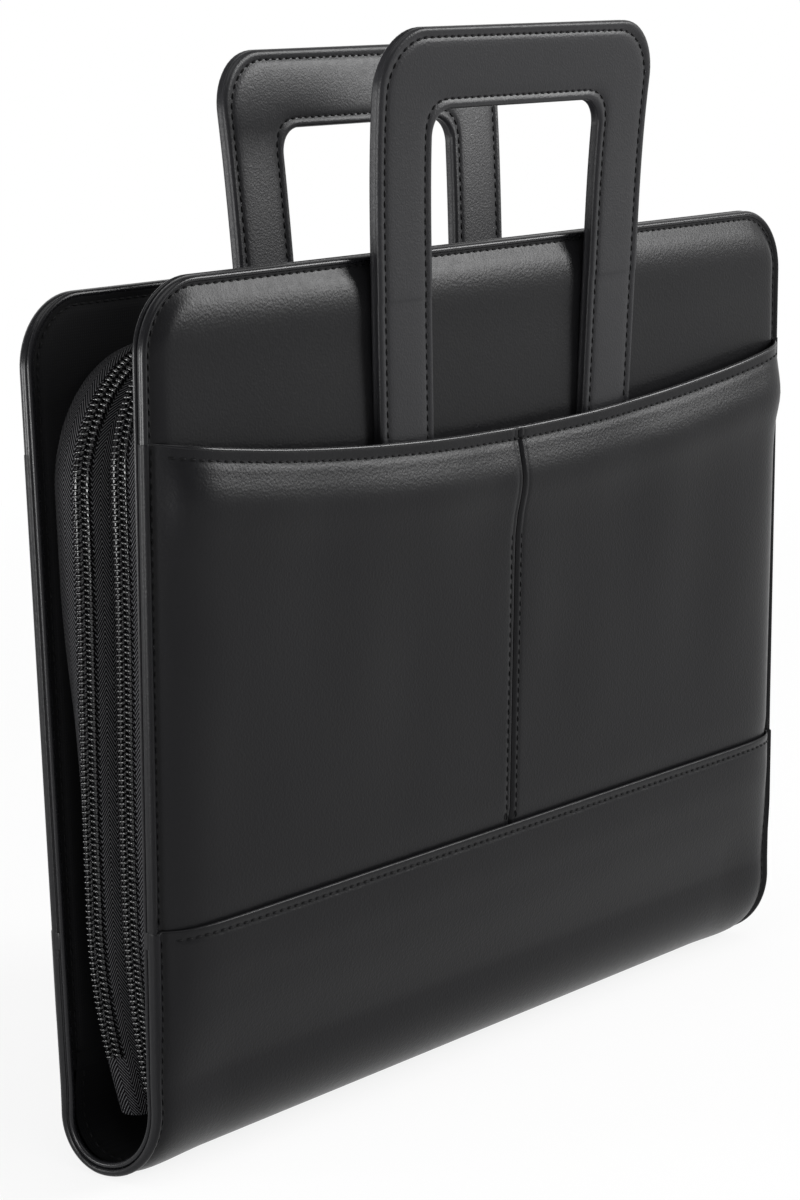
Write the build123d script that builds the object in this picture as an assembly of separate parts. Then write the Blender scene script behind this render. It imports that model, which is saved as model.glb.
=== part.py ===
from build123d import *
from math import hypot, pi, sqrt
import os

# A zip-round writing case standing on its spine, closed, with both carrying handles drawn up.
# X runs along the spine, the front faces -Y, Z is up, and the origin lies under the middle of the spine.

# Case, in millimetres and degrees
width = 340.0
cover_top = 285.0
corner_radius = 22.0
cover_splay = 1.3
back_drop = 7.0
hinge_height = 33.0
hinge_gap = 0.3

# Cover sandwich, from the outside in
skin_sheet = 1.1
cover_board = 2.8
lining_sheet = 1.1
rim_width = 5.0
board_fit = 0.3

# Spine
spine_half_depth = 22.0
spine_front_radius = 15.0
spine_back_radius = 15.0
wrap_sheet = 1.2
spine_board_sheet = 2.0
spine_lining_sheet = 1.0
spine_board_width = 12.0

# Outside pocket and the panel below it
pocket_sheet = 1.0
pocket_hem = 6.0
pocket_ramp = 26.0
lip_side_height = 237.0
lip_centre_height = 223.0
seam_height = 84.0
seam_room = 5.0
lip_room = 8.0
seam_gap = 0.3

# Carrying handles
handle_width = 147.0
handle_taper = 0.042
handle_leg = 27.0
handle_bar = 26.5
handle_top = 358.0
handle_foot_height = 172.0
handle_outer_radius = 20.0
handle_window_radius = 9.0
handle_skin = 1.0
handle_core = 2.2
handle_core_inset = 0.8
handle_lean = 1.0
handle_clearance = 0.4
back_handle_shift = 5.0
foot_reach = 10.0
foot_root = 2.0
foot_depth = 12.0
stop_depth = 12.0
stop_sheet = 3.2

# Zip chains and their tapes
chain_offset = 8.5
chain_inset = 6.0
chain_top_inset = 18.0
chain_corner_radius = 30.0
chain_end_height = 42.0
tape_end_height = 29.0
tape_sheet = 0.6
tooth_half_pitch = 2.4
tooth_reach = 1.3
tooth_gap = 0.5
tooth_back = 1.55
tooth_height = 2.2
tooth_root = 0.3
valley_depth = 6.5

# Sliders and pulls
slider_length = 14.0
slider_bottom = 50.0
slider_plate = 1.2
slider_outer_width = 7.6
slider_inner_width = 5.0
slider_clearance = 0.4
diamond_width = 1.8
diamond_length = 5.0
lug_sheet = 1.2
lug_length = 5.0
pull_pin_radius = 0.6
pull_eye_radius = 1.5
pull_eye_fit = 0.2
pull_width = 3.6
pull_sheet = 1.1
pull_length = 26.0
pull_corner_radius = 1.2

# Centre leaf
leaf_board_sheet = 1.6
leaf_lining_sheet = 0.7
leaf_margin = 0.6

# Writing pad and its sleeve
pad_length = 279.0
pad_width = 216.0
pad_paper_sheet = 6.0
pad_backing_sheet = 0.8
pad_bottom = 20.0
pad_fit = 0.15
binding_sheet = 0.5
binding_reach = 16.0
sleeve_sheet = 0.8
sleeve_hem = 4.0
sleeve_reach = 118.0

# Pen loop
loop_radius = 5.6
loop_sheet = 0.7
loop_length = 22.0
loop_base = 9.0
loop_place = -60.0

# Inside pockets
inner_sheet = 0.8
inner_hem = 4.0
document_pocket_width = 270.0
document_pocket_height = 150.0
document_pocket_room = 1.2
document_pocket_bottom = 24.0
card_pocket_width = 100.0
card_pocket_height = 48.0
card_pocket_room = 1.0
card_pocket_spacing = 120.0
file_pocket_width = 290.0
file_pocket_height = 170.0
file_pocket_room = 2.0
file_pocket_bottom = 24.0

# Places worked out from the sizes above
half_width = width / 2
cover_depth = skin_sheet + cover_board + lining_sheet
rim_depth = cover_depth / 2
cover_height = cover_top - hinge_height
lip_at_sides = lip_side_height - hinge_height
lip_at_centre = lip_centre_height - hinge_height
seam_at = seam_height - hinge_height
handle_half = handle_width / 2
foot_at = handle_foot_height - hinge_height
bar_top_at = handle_top - hinge_height
window_top_at = bar_top_at - handle_bar
window_half = handle_half - handle_leg - handle_taper * handle_bar
foot_half = window_half - handle_taper * (window_top_at - foot_at)
chain_top = cover_top - chain_top_inset
chain_half = tooth_gap / 2 + tooth_reach + tooth_back
leaf_half_depth = leaf_board_sheet / 2 + leaf_lining_sheet
spine_floor = wrap_sheet + spine_board_sheet + spine_lining_sheet
slider_top = slider_bottom + slider_length
chain_face = half_width - chain_inset + (tooth_height - tape_sheet) / 2
across = (0, 1, 0)

os.makedirs("parts", exist_ok=True)


def save(name, shape):
    """Write one piece under its own name."""
    export_step(shape, f"parts/{name}.step")


def in_front(shape):
    """Set an upright cover piece on the front hinge line, leaning out by the splay."""
    return Pos(0, -spine_half_depth, hinge_height) * Rot(cover_splay, 0, 0) * shape


def at_back(shape):
    """Turn a finished front piece into its twin at the back, which stands lower."""
    return Pos(0, 0, -back_drop) * mirror(shape, about=Plane.XZ)


def other_side(shape):
    """Mirror a piece from the left half to the right half."""
    return mirror(shape, about=Plane.YZ)


def arch(half, bottom, top, radius, taper=0.0):
    """Upright outline with square feet and round top corners, drawn in toward its feet by the taper."""
    foot = half - taper * (top - bottom)
    outline = make_face(Polyline((-foot, bottom), (foot, bottom), (half, top), (-half, top), close=True))
    outline = fillet(outline.vertices().group_by(Axis.Y)[-1], radius)
    return Plane.XZ * outline


def slab(outline, start, depth):
    """Give an upright outline its depth, measured inward from one plane."""
    return extrude(Pos(0, start, 0) * outline, depth, dir=across)


# Covers: outside skin and inside lining are trays with turned rims, and the board lies between them.

def cover_outline(inset):
    """Outline of a cover, drawn in by one inset all round."""
    return arch(half_width - inset, hinge_gap + inset, cover_height - inset, corner_radius - inset)


def cover_skin():
    """Outside skin with its rim turned over the edge of the board."""
    recess = slab(cover_outline(rim_width), skin_sheet, rim_depth)
    return slab(cover_outline(0), 0, rim_depth) - recess


def cover_stiffener():
    """Board inside a cover."""
    return slab(cover_outline(rim_width + board_fit), skin_sheet, cover_board)


def cover_lining():
    """Inside lining with its rim turned against the rim of the skin."""
    recess = slab(cover_outline(rim_width), 0, cover_depth - lining_sheet)
    return slab(cover_outline(0), rim_depth, cover_depth - rim_depth) - recess


# Outside pocket: two halves that meet at a centre seam, above one panel that runs down to the spine.

def lip_at(x):
    """Height of the dipped lip, an arc through both sides and the centre."""
    dip = lip_at_sides - lip_at_centre
    radius = (half_width ** 2 + dip ** 2) / (2 * dip)
    return lip_at_centre + radius - sqrt(radius ** 2 - x ** 2)


def pocket_room(height):
    """Depth behind the pocket sheet, growing from the seam to the lip."""
    return seam_room + (height - seam_at) * (lip_room - seam_room) / (lip_at_sides - seam_at)


def ramp_cut(edge_height, crest_height, room):
    """Cut along the left side of the outside sheet: a flat hem, then an S-shaped ramp."""
    run = pocket_hem + pocket_ramp
    rise = crest_height - edge_height
    slope_length = hypot(run, rise)
    hem = slope_length * pocket_hem / run
    middle = (hem + slope_length) / 2
    lines = []
    for depth in (0, pocket_sheet):
        low = -room - depth
        lines.append(Line((0, -depth), (hem, -depth)))
        lines.append(Bezier((hem, -depth), (middle, -depth), (middle, low), (slope_length, low)))
    lines.append(Line((0, 0), (0, -pocket_sheet)))
    lines.append(Line((slope_length, -room), (slope_length, -room - pocket_sheet)))
    plane = Plane(origin=(-half_width, 0, edge_height), x_dir=(run, 0, rise), z_dir=(-rise, 0, run))
    return plane * make_face(lines)


def flat_cut(height, room, start, end):
    """Cut across the flat run of the outside sheet."""
    return Pos((start + end) / 2, -room - pocket_sheet / 2, height) * Rectangle(end - start, pocket_sheet)


def pocket_half():
    """Left half of the pocket sheet, from the seam up to the dipped lip."""
    crest = -half_width + pocket_hem + pocket_ramp
    bottom = seam_at + seam_gap
    lip = lip_at(crest)
    ends = (crest, -seam_gap / 2)
    low_cut = ramp_cut(bottom, bottom, pocket_room(bottom))
    ramp = loft([low_cut, ramp_cut(lip_at_sides, lip, pocket_room(lip))], ruled=True)
    high_cut = flat_cut(lip_at_sides, lip_room, *ends)
    flat = loft([flat_cut(bottom, pocket_room(bottom), *ends), high_cut], ruled=True)
    dip = ThreePointArc((-half_width, lip_at_sides), (0, lip_at_centre), (half_width, lip_at_sides))
    above = make_face([dip, Line((half_width, lip_at_sides), (-half_width, lip_at_sides))])
    depth = lip_room + 2 * pocket_sheet
    return ramp + (flat - slab(Plane.XZ * above, -depth, depth))


def lower_panel():
    """Panel between the pocket seam and the spine."""
    crest = half_width - pocket_hem - pocket_ramp
    foot = ramp_cut(hinge_gap, hinge_gap, 0)
    left = loft([foot, ramp_cut(seam_at, seam_at, seam_room)], ruled=True)
    foot_flat = flat_cut(hinge_gap, 0, -crest, crest)
    flat = loft([foot_flat, flat_cut(seam_at, seam_room, -crest, crest)], ruled=True)
    return left + flat + other_side(left)


# Handles: a flat hoop of two skins over a core, whose feet catch under two stops sewn to the cover.

def handle_outline(inset):
    """Hoop with two legs, inward feet and a round-cornered window."""
    bottom = foot_at + inset
    hoop = arch(handle_half - inset, bottom, bar_top_at - inset, handle_outer_radius - inset, handle_taper)
    window = arch(window_half + inset, 0, window_top_at + inset, handle_window_radius + inset, handle_taper)
    foot = Rectangle(foot_reach + foot_root, foot_depth - 2 * inset)
    foot_x = foot_half + inset + foot_root / 2 - foot_reach / 2
    feet = [Pos(side * foot_x, foot_at + foot_depth / 2) * foot for side in (-1, 1)]
    return hoop - window + [Plane.XZ * piece for piece in feet]


def handle_layer(inset, start, depth):
    """One layer of the handle, leaning a little further out than its cover."""
    layer = slab(handle_outline(inset), -start - depth, depth)
    leaning = Rot(handle_lean, 0, 0) * Pos(0, 0, -foot_at) * layer
    return Pos(0, -handle_clearance, foot_at) * leaning


def handle_stops():
    """Two tabs sewn to the cover, just above the feet of the handle."""
    stop_width = foot_reach - 2 * handle_clearance
    stop_x = foot_half - handle_clearance - stop_width / 2
    stop_z = foot_at + foot_depth + handle_clearance + stop_depth / 2
    tab = Box(stop_width, stop_sheet, stop_depth)
    return [Pos(side * stop_x, -stop_sheet / 2, stop_z) * tab for side in (-1, 1)]


# Zips: each chain runs up one side, along the top and down the other side, in an upright plane.

def chain_arch(inset, bottom):
    """Outline of the chain's path, drawn in from the chain by one inset."""
    half = half_width - chain_inset - inset
    return arch(half, bottom, chain_top - inset, chain_corner_radius - inset)


def tape_ring(inset):
    """Thin hoop across a tape, at one inset from the chain."""
    inner = chain_arch(inset + tape_sheet, 0)
    return chain_arch(inset, tape_end_height) - inner


def cover_tape():
    """Tape from the chain out to the lining of the front cover."""
    start = -chain_offset - chain_half
    band = extrude(Pos(0, start, 0) * tape_ring(0), 2 * spine_half_depth, dir=(0, -1, 0))
    beyond = Pos(0, cover_depth - width / 2, 0) * Box(2 * width, width, 4 * width)
    return band - in_front(beyond)


def leaf_tape():
    """Tape that slopes in from the chain to the face of the centre leaf."""
    at_chain = Pos(0, -chain_offset + chain_half, 0) * tape_ring(0)
    at_leaf = Pos(0, -leaf_half_depth, 0) * tape_ring(valley_depth)
    return loft([at_chain, at_leaf], ruled=True)


def comb_run(start, along, outward, length, side):
    """Straight comb: a back strip with a zigzag of teeth that interlocks with the other side."""
    steps = 2 * round(length / (2 * tooth_half_pitch))
    step = length / steps
    shift = side * tooth_gap / 2
    points = [(i * step, shift + tooth_reach * (-1 if i % 2 == 0 else 1)) for i in range(steps + 1)]
    points += [(length, side * chain_half), (0, side * chain_half)]
    plane = Plane(origin=start, x_dir=along, z_dir=outward)
    return extrude(plane * make_face(Polyline(*points, close=True)), tooth_height)


def comb_corner(centre_x, start_angle, side):
    """Comb round one top corner of the chain."""
    inner = chain_corner_radius - (tooth_height + tape_sheet) / 2
    outer = inner + tooth_height
    centre_z = chain_top - chain_corner_radius
    root = tooth_gap / 2 + tooth_reach
    length = chain_corner_radius * pi / 2
    steps = 2 * round(length / (2 * tooth_half_pitch))
    half = length / steps
    ring = Circle(outer) - Circle(inner)
    strip_y = -chain_offset + side * (root + tooth_back / 2)
    quarter = Pos(outer, outer) * Rectangle(2 * outer, 2 * outer)
    strip = Plane.XZ * (Rot(0, 0, start_angle) * quarter & ring)
    strip = extrude(strip, tooth_back / 2, both=True)
    comb = Pos(centre_x, strip_y, centre_z) * strip
    tip = (0, side * (tooth_gap / 2 - tooth_reach))
    base = [(half, side * root), (half, side * (root + tooth_root))]
    base += [(-x, y) for x, y in reversed(base)]
    tooth = make_face(Polyline(tip, *base, close=True))
    teeth = []
    for i in range(0 if side > 0 else 1, steps + 1, 2):
        turn = Rot(0, 90 - start_angle - 90 * i / steps, 0)
        upright = Pos(centre_x, -chain_offset, centre_z) * turn * Pos(0, 0, inner)
        teeth.append(upright * extrude(tooth, tooth_height))
    return comb + teeth


def comb(side):
    """All of one stringer's teeth, from the left end over the top to the parked slider."""
    level = (tooth_height + tape_sheet) / 2
    x = half_width - chain_inset - level
    z = chain_top - level
    corner_x = half_width - chain_inset - chain_corner_radius
    corner_z = chain_top - chain_corner_radius
    left_length = corner_z - chain_end_height
    left = comb_run((-x, -chain_offset, chain_end_height), (0, 0, 1), (-1, 0, 0), left_length, side)
    over = comb_run((-corner_x, -chain_offset, z), (1, 0, 0), (0, 0, 1), 2 * corner_x, side)
    right_end = slider_top + slider_clearance
    right = comb_run((x, -chain_offset, corner_z), (0, 0, -1), (1, 0, 0), corner_z - right_end, side)
    corners = [comb_corner(-corner_x, 90, side), comb_corner(corner_x, 0, side)]
    return left + [over, right] + corners


def slider():
    """Slider of two plates joined by a diamond, with two lugs that hold the pull's pin."""
    middle = (slider_bottom + slider_top) / 2
    outer_x = chain_face + slider_clearance + slider_plate / 2
    inner_x = chain_face - tooth_height - slider_clearance - slider_plate / 2
    outer_plate = Pos(outer_x, 0, middle) * Box(slider_plate, slider_outer_width, slider_length)
    inner_plate = Pos(inner_x, 0, middle) * Box(slider_plate, slider_inner_width, slider_length)
    diamond_z = slider_bottom + diamond_length / 2
    diamond_x = (outer_x + inner_x) / 2
    diamond = Pos(diamond_x, 0, diamond_z) * Box(outer_x - inner_x, diamond_width, diamond_length)
    lug_y = pull_width / 2 + pull_eye_fit + lug_sheet / 2
    lug_start = outer_x + slider_plate / 2
    lug_depth = pull_pin_x() + pull_eye_radius - lug_start
    lug = Box(lug_depth, lug_sheet, lug_length)
    lugs = [Pos(lug_start + lug_depth / 2, side * lug_y, middle) * lug for side in (-1, 1)]
    pin = Cylinder(pull_pin_radius, 2 * lug_y, rotation=(90, 0, 0))
    body = outer_plate + inner_plate + diamond + lugs + Pos(pull_pin_x(), 0, middle) * pin
    return Pos(0, -chain_offset, 0) * body


def pull_pin_x():
    """How far out the pin of the pull lies."""
    return chain_face + slider_clearance + slider_plate + pull_eye_radius + pull_eye_fit


def pull():
    """Flat pull that hangs from an eye round the slider's pin."""
    hole = pull_pin_radius + pull_eye_fit
    eye = Cylinder(pull_eye_radius, pull_width, rotation=(90, 0, 0))
    tab = Pos(0, 0, -pull_length / 2) * Box(pull_sheet, pull_width, pull_length)
    tab = fillet(tab.edges().filter_by(Axis.X).group_by(Axis.Z)[0], pull_corner_radius)
    shape = eye + tab - Cylinder(hole, 2 * pull_width, rotation=(90, 0, 0))
    return Pos(pull_pin_x(), -chain_offset, (slider_bottom + slider_top) / 2) * shape


# Spine: a U of wrap and lining with a stiffening board along the bottom.

def spine_outline(side, floor, top_room):
    """Outline of the spine's cross-section, drawn in at the sides and from the floor."""
    half = spine_half_depth - side
    front_top = hinge_height + top_room
    back_top = hinge_height - back_drop + top_room
    corners = [(-half, front_top), (-half, floor), (half, floor), (half, back_top)]
    outline = make_face(Polyline(*corners, close=True))
    low = outline.vertices().group_by(Axis.Y)[0].sort_by(Axis.X)
    outline = fillet(low[:1], spine_front_radius - side)
    low = outline.vertices().sort_by_distance((half, floor))
    return fillet(low[:1], spine_back_radius - side)


def spine_trough(side, floor, sheet):
    """U-shaped sheet along the whole spine."""
    cut = spine_outline(side + sheet, floor + sheet, hinge_height)
    return extrude(Plane.YZ * (spine_outline(side, floor, 0) - cut), half_width, both=True)


def spine_board():
    """Stiff strip between the wrap and the lining of the spine."""
    height = wrap_sheet + spine_board_sheet / 2
    return Pos(0, 0, height) * Box(width, spine_board_width, spine_board_sheet)


# Centre leaf: a board between two linings, standing in the spine.

def leaf_outline():
    """Outline of the centre leaf, which just covers the inner edges of both leaf tapes."""
    return chain_arch(valley_depth - leaf_margin, spine_floor)


def pad_place(start, depth):
    """Centre of a pad layer that starts at one distance in front of the leaf."""
    return Pos(0, -leaf_half_depth - start - depth / 2, pad_bottom + pad_width / 2)


def pad_layers():
    """Backing board, paper block and the binding over the end of both."""
    backing_start = pad_fit
    paper_start = pad_fit + pad_backing_sheet + 2 * pad_fit + sleeve_sheet
    depth = paper_start + pad_paper_sheet - backing_start
    backing = pad_place(backing_start, pad_backing_sheet) * Box(pad_length, pad_backing_sheet, pad_width)
    paper = pad_place(paper_start, pad_paper_sheet) * Box(pad_length, pad_paper_sheet, pad_width)
    end = Box(binding_sheet, depth + binding_sheet, pad_width)
    face = Box(binding_reach, binding_sheet, pad_width)
    shift = -pad_length / 2
    binding = pad_place(backing_start, depth + binding_sheet) * Pos(shift - binding_sheet / 2, 0, 0) * end
    face_place = pad_place(backing_start + depth, binding_sheet)
    binding += face_place * Pos(shift + binding_reach / 2 - binding_sheet / 2, 0, 0) * face
    return backing, paper, binding


def pad_sleeve():
    """Sheet sewn to the leaf on three sides, into which the pad's backing slides from the left."""
    room = pad_backing_sheet + 2 * pad_fit
    end_x = pad_length / 2 + pad_fit + sleeve_hem
    tall = pad_width + 2 * (pad_fit + sleeve_hem)
    sheet = Pos(end_x - sleeve_reach / 2, 0, 0) * Box(sleeve_reach, room + sleeve_sheet, tall)
    hollow_x = end_x - sleeve_hem - sleeve_reach / 2
    hollow = Box(sleeve_reach, room, tall - 2 * sleeve_hem)
    return pad_place(0, room + sleeve_sheet) * (sheet - Pos(hollow_x, sleeve_sheet / 2, 0) * hollow)


def pen_loop():
    """Elastic loop above the pad, sewn to the leaf by its base."""
    ring = Circle(loop_radius + loop_sheet) - Circle(loop_radius)
    base = Pos(loop_radius + loop_sheet / 2, 0) * Rectangle(loop_sheet, loop_base)
    loop = extrude(Plane.YZ * (ring + base), loop_length / 2, both=True)
    height = pad_bottom + pad_width + pad_fit + loop_radius + loop_sheet + sleeve_hem
    return Pos(loop_place, -leaf_half_depth - loop_radius - loop_sheet, height) * loop


def patch_pocket(size_x, size_z, room):
    """Sheet sewn to a cover lining on three sides, open at the top."""
    sheet = Box(size_x, room + inner_sheet, size_z)
    hollow = Box(size_x - 2 * inner_hem, room, size_z)
    tray = sheet - Pos(0, -inner_sheet / 2, inner_hem) * hollow
    return Pos(0, cover_depth + (room + inner_sheet) / 2, size_z / 2) * tray


pieces = {}
front = {
    "cover_skin": in_front(cover_skin()),
    "cover_board": in_front(cover_stiffener()),
    "cover_lining": in_front(cover_lining()),
    "lower_panel": in_front(lower_panel()),
    "pocket_left": in_front(pocket_half()),
    "pocket_right": in_front(other_side(pocket_half())),
    "handle_stops": in_front(Compound(children=handle_stops())),
    "handle_inner_skin": in_front(handle_layer(0, 0, handle_skin)),
    "handle_core": in_front(handle_layer(handle_core_inset, handle_skin, handle_core)),
    "handle_outer_skin": in_front(handle_layer(0, handle_skin + handle_core, handle_skin)),
    "zip_cover_tape": cover_tape(),
    "zip_leaf_tape": leaf_tape(),
    "zip_cover_teeth": comb(-1),
    "zip_leaf_teeth": comb(1),
    "zip_slider": slider(),
    "zip_pull": pull(),
}
for name, shape in front.items():
    shift = back_handle_shift if name.startswith("handle") else 0
    pieces["front_" + name] = shape
    pieces["back_" + name] = Pos(shift, 0, 0) * at_back(shape)

pieces["spine_wrap"] = spine_trough(0, 0, wrap_sheet)
pieces["spine_board"] = spine_board()
pieces["spine_lining"] = spine_trough(wrap_sheet, wrap_sheet + spine_board_sheet, spine_lining_sheet)

pieces["leaf_board"] = slab(leaf_outline(), -leaf_board_sheet / 2, leaf_board_sheet)
pieces["leaf_front_lining"] = slab(leaf_outline(), -leaf_half_depth, leaf_lining_sheet)
pieces["leaf_back_lining"] = slab(leaf_outline(), leaf_board_sheet / 2, leaf_lining_sheet)
pieces["pad_backing"], pieces["pad_paper"], pieces["pad_binding"] = pad_layers()
pieces["pad_sleeve"] = pad_sleeve()
pieces["pen_loop"] = pen_loop()

document_pocket = patch_pocket(document_pocket_width, document_pocket_height, document_pocket_room)
pieces["front_document_pocket"] = in_front(Pos(0, 0, document_pocket_bottom) * document_pocket)
card_bottom = document_pocket_bottom + document_pocket_height + inner_hem
cards = []
for side in (-1, 1):
    card = patch_pocket(card_pocket_width, card_pocket_height, card_pocket_room)
    cards.append(Pos(side * card_pocket_spacing / 2, 0, card_bottom) * card)
pieces["front_card_pockets"] = in_front(Compound(children=cards))
file_pocket = patch_pocket(file_pocket_width, file_pocket_height, file_pocket_room)
pieces["back_file_pocket"] = at_back(in_front(Pos(0, 0, file_pocket_bottom) * file_pocket))

for name, shape in pieces.items():
    save(name, shape)
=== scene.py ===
"""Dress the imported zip-round writing case: leatherette, stitching, zips, linings and the pad."""
import logging
import math
from dataclasses import dataclass, field
from enum import Enum
from typing import Any, Callable, Optional, Sequence

import bmesh
import bpy
import numpy as np
from mathutils import Matrix


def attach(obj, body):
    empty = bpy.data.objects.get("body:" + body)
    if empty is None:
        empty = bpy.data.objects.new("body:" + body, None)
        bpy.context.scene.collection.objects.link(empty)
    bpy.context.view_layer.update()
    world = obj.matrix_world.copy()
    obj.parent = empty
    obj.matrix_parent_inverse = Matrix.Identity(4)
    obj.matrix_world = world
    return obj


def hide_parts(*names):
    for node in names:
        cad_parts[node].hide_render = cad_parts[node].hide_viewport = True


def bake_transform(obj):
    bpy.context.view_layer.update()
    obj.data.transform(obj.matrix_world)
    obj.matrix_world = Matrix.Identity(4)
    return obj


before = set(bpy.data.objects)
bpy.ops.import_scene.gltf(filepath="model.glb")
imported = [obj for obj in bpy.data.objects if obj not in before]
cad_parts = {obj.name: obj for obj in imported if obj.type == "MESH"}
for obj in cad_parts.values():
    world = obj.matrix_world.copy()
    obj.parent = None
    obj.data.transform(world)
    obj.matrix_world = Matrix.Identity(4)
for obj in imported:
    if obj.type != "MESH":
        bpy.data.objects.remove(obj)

LOG = logging.getLogger("writing_case")
MM = 0.001
QUARTER_TURN = math.pi / 2
BEAD_SIDES = 14
Array = np.ndarray
Node = bpy.types.Node
Piece = bpy.types.Object
Socket = bpy.types.NodeSocket
Tree = bpy.types.NodeTree


# Nodes and soft forms

def linear(hex_colour: str) -> tuple[float, float, float, float]:
    """Turn an sRGB hex colour into linear values.

    Args:
        hex_colour: Colour such as "#1c1c1e".

    Returns:
        Linear red, green, blue and an alpha of one.
    """
    channels = [int(hex_colour[i:i + 2], 16) / 255 for i in (1, 3, 5)]
    red, green, blue = [c / 12.92 if c <= 0.04045 else ((c + 0.055) / 1.055) ** 2.4
                        for c in channels]
    return red, green, blue, 1.0


def add_node(tree: Tree, kind: str, inputs: Optional[dict[Any, Any]] = None,
             **settings: Any) -> Node:
    """Add one node with its settings, socket values and links.

    Args:
        tree: Node tree that takes the node.
        kind: Blender's name for the node type.
        inputs: Values or output sockets by the name or number of the input.
        **settings: Properties of the node itself.

    Returns:
        The new node.
    """
    node = tree.nodes.new(kind)
    for name, value in settings.items():
        setattr(node, name, value)
    for key, value in (inputs or {}).items():
        if isinstance(value, Socket):
            tree.links.new(value, node.inputs[key])
        else:
            node.inputs[key].default_value = value
    return node


def compute(tree: Tree, operation: str, *values: Any) -> Socket:
    """Result of one sum on numbers or sockets."""
    return add_node(tree, "ShaderNodeMath", dict(enumerate(values)), operation=operation).outputs[0]


def piece_place(tree: Tree) -> Socket:
    """Place on the piece, in metres."""
    return add_node(tree, "ShaderNodeTexCoord").outputs["Object"]


def noise(tree: Tree, size: float, detail: float) -> Socket:
    """Cloudy pattern with lumps of a size in millimetres."""
    inputs = {"Vector": piece_place(tree), "Scale": 1 / (size * MM), "Detail": detail}
    return add_node(tree, "ShaderNodeTexNoise", inputs).outputs[0]


def blank_tree(owner: Any) -> Tree:
    """Empty the node tree of a material or a world.

    Args:
        owner: The material or the world.

    Returns:
        Its node tree, without nodes.
    """
    owner.use_nodes = True
    owner.node_tree.nodes.clear()
    return owner.node_tree


@dataclass(frozen=True)
class Ease:
    """Share that grows softly from 0 at a start to 1 after a run, which may be negative."""

    start: float
    run: float

    def at(self, value: Any) -> Array:
        """Share at a value."""
        t = np.clip((value - self.start) / self.run, 0.0, 1.0)
        return t * t * (3.0 - 2.0 * t)


@dataclass(frozen=True)
class Ridge:
    """Long soft ridge; a negative height makes it a pressed groove."""

    height: float
    width: float
    place: float = 0.0

    def at(self, distance: Any) -> Array:
        """Height at a distance across it."""
        away = np.asarray(distance, float) - self.place
        return self.height * np.exp(-(away / self.width) ** 2)


# Finishes

@dataclass(frozen=True)
class Finish:
    """A real material of the case: its colours, gloss and the size of its grain in millimetres.

    The gloss is the share of mirror-like light: half for clear plastic, less for a matted film or
    cloth. The strength is how much of the relief shows.
    """

    name: str
    slot: str
    colour: str
    shade: str
    roughness: float
    grain: float
    relief: float
    ior: float = 1.5
    gloss: float = 0.5
    strength: float = 1.0

    def material(self) -> bpy.types.Material:
        """Return the Blender material, made once."""
        made = bpy.data.materials.get(self.name)
        if made is None:
            made = bpy.data.materials.new(self.name)
            tree = blank_tree(made)
            shader = add_node(tree, "ShaderNodeBsdfPrincipled", {
                "Roughness": self.roughness, "IOR": self.ior, "Specular IOR Level": self.gloss})
            add_node(tree, "ShaderNodeOutputMaterial", {"Surface": shader.outputs["BSDF"]})
            self.pattern(tree, shader)
        return made

    def pattern(self, tree: Tree, shader: Node) -> None:
        """Colour and emboss the surface; each kind of material has its own."""
        raise NotImplementedError

    def tint(self, tree: Tree, shader: Node, amount: Socket) -> None:
        """Mix the two colours of the finish by a pattern.

        Args:
            tree: Node tree of the material.
            shader: Surface shader.
            amount: Share of the shade, from 0 to 1.
        """
        colours = {"Factor": amount, "A": linear(self.colour), "B": linear(self.shade)}
        mix = add_node(tree, "ShaderNodeMix", colours, data_type="RGBA")
        tree.links.new(mix.outputs["Result"], shader.inputs["Base Color"])

    def emboss(self, tree: Tree, shader: Node, height: Socket) -> None:
        """Raise the surface by a pattern.

        Args:
            tree: Node tree of the material.
            shader: Surface shader.
            height: Height of the pattern, from 0 to 1.
        """
        bump = add_node(tree, "ShaderNodeBump", {
            "Strength": self.strength, "Distance": self.relief * MM, "Height": height})
        tree.links.new(bump.outputs["Normal"], shader.inputs["Normal"])


@dataclass(frozen=True)
class PebbledLeatherette(Finish):
    """Polyurethane on cloth, embossed by a roller with a fine pebble grain under a satin film."""

    strength: float = 0.6
    crease_grains: float = 3.0
    crease_height: float = 0.25
    cloud: float = 45.0
    smoother: float = 0.05
    rougher: float = 0.07

    # The film gives a broad soft highlight, and the pebbles break it into a fine sparkle.
    def pattern(self, tree: Tree, shader: Node) -> None:
        """Emboss pebbles and a slight unevenness of the film."""
        # Real pebbles are about 0.4 mm, too fine to show, so they are as wide as the grain says.
        pebble = add_node(tree, "ShaderNodeTexVoronoi", {
            "Vector": piece_place(tree), "Scale": 1 / (self.grain * MM)}, feature="SMOOTH_F1")
        crease = noise(tree, self.crease_grains * self.grain, 4.0)
        self.emboss(tree, shader, compute(tree, "MULTIPLY_ADD", crease, self.crease_height,
                                          pebble.outputs["Distance"]))
        self.tint(tree, shader, noise(tree, self.cloud, 2.0))
        gloss = add_node(tree, "ShaderNodeMapRange", {
            "Value": crease, "To Min": self.roughness - self.smoother,
            "To Max": self.roughness + self.rougher})
        tree.links.new(gloss.outputs["Result"], shader.inputs["Roughness"])


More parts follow.
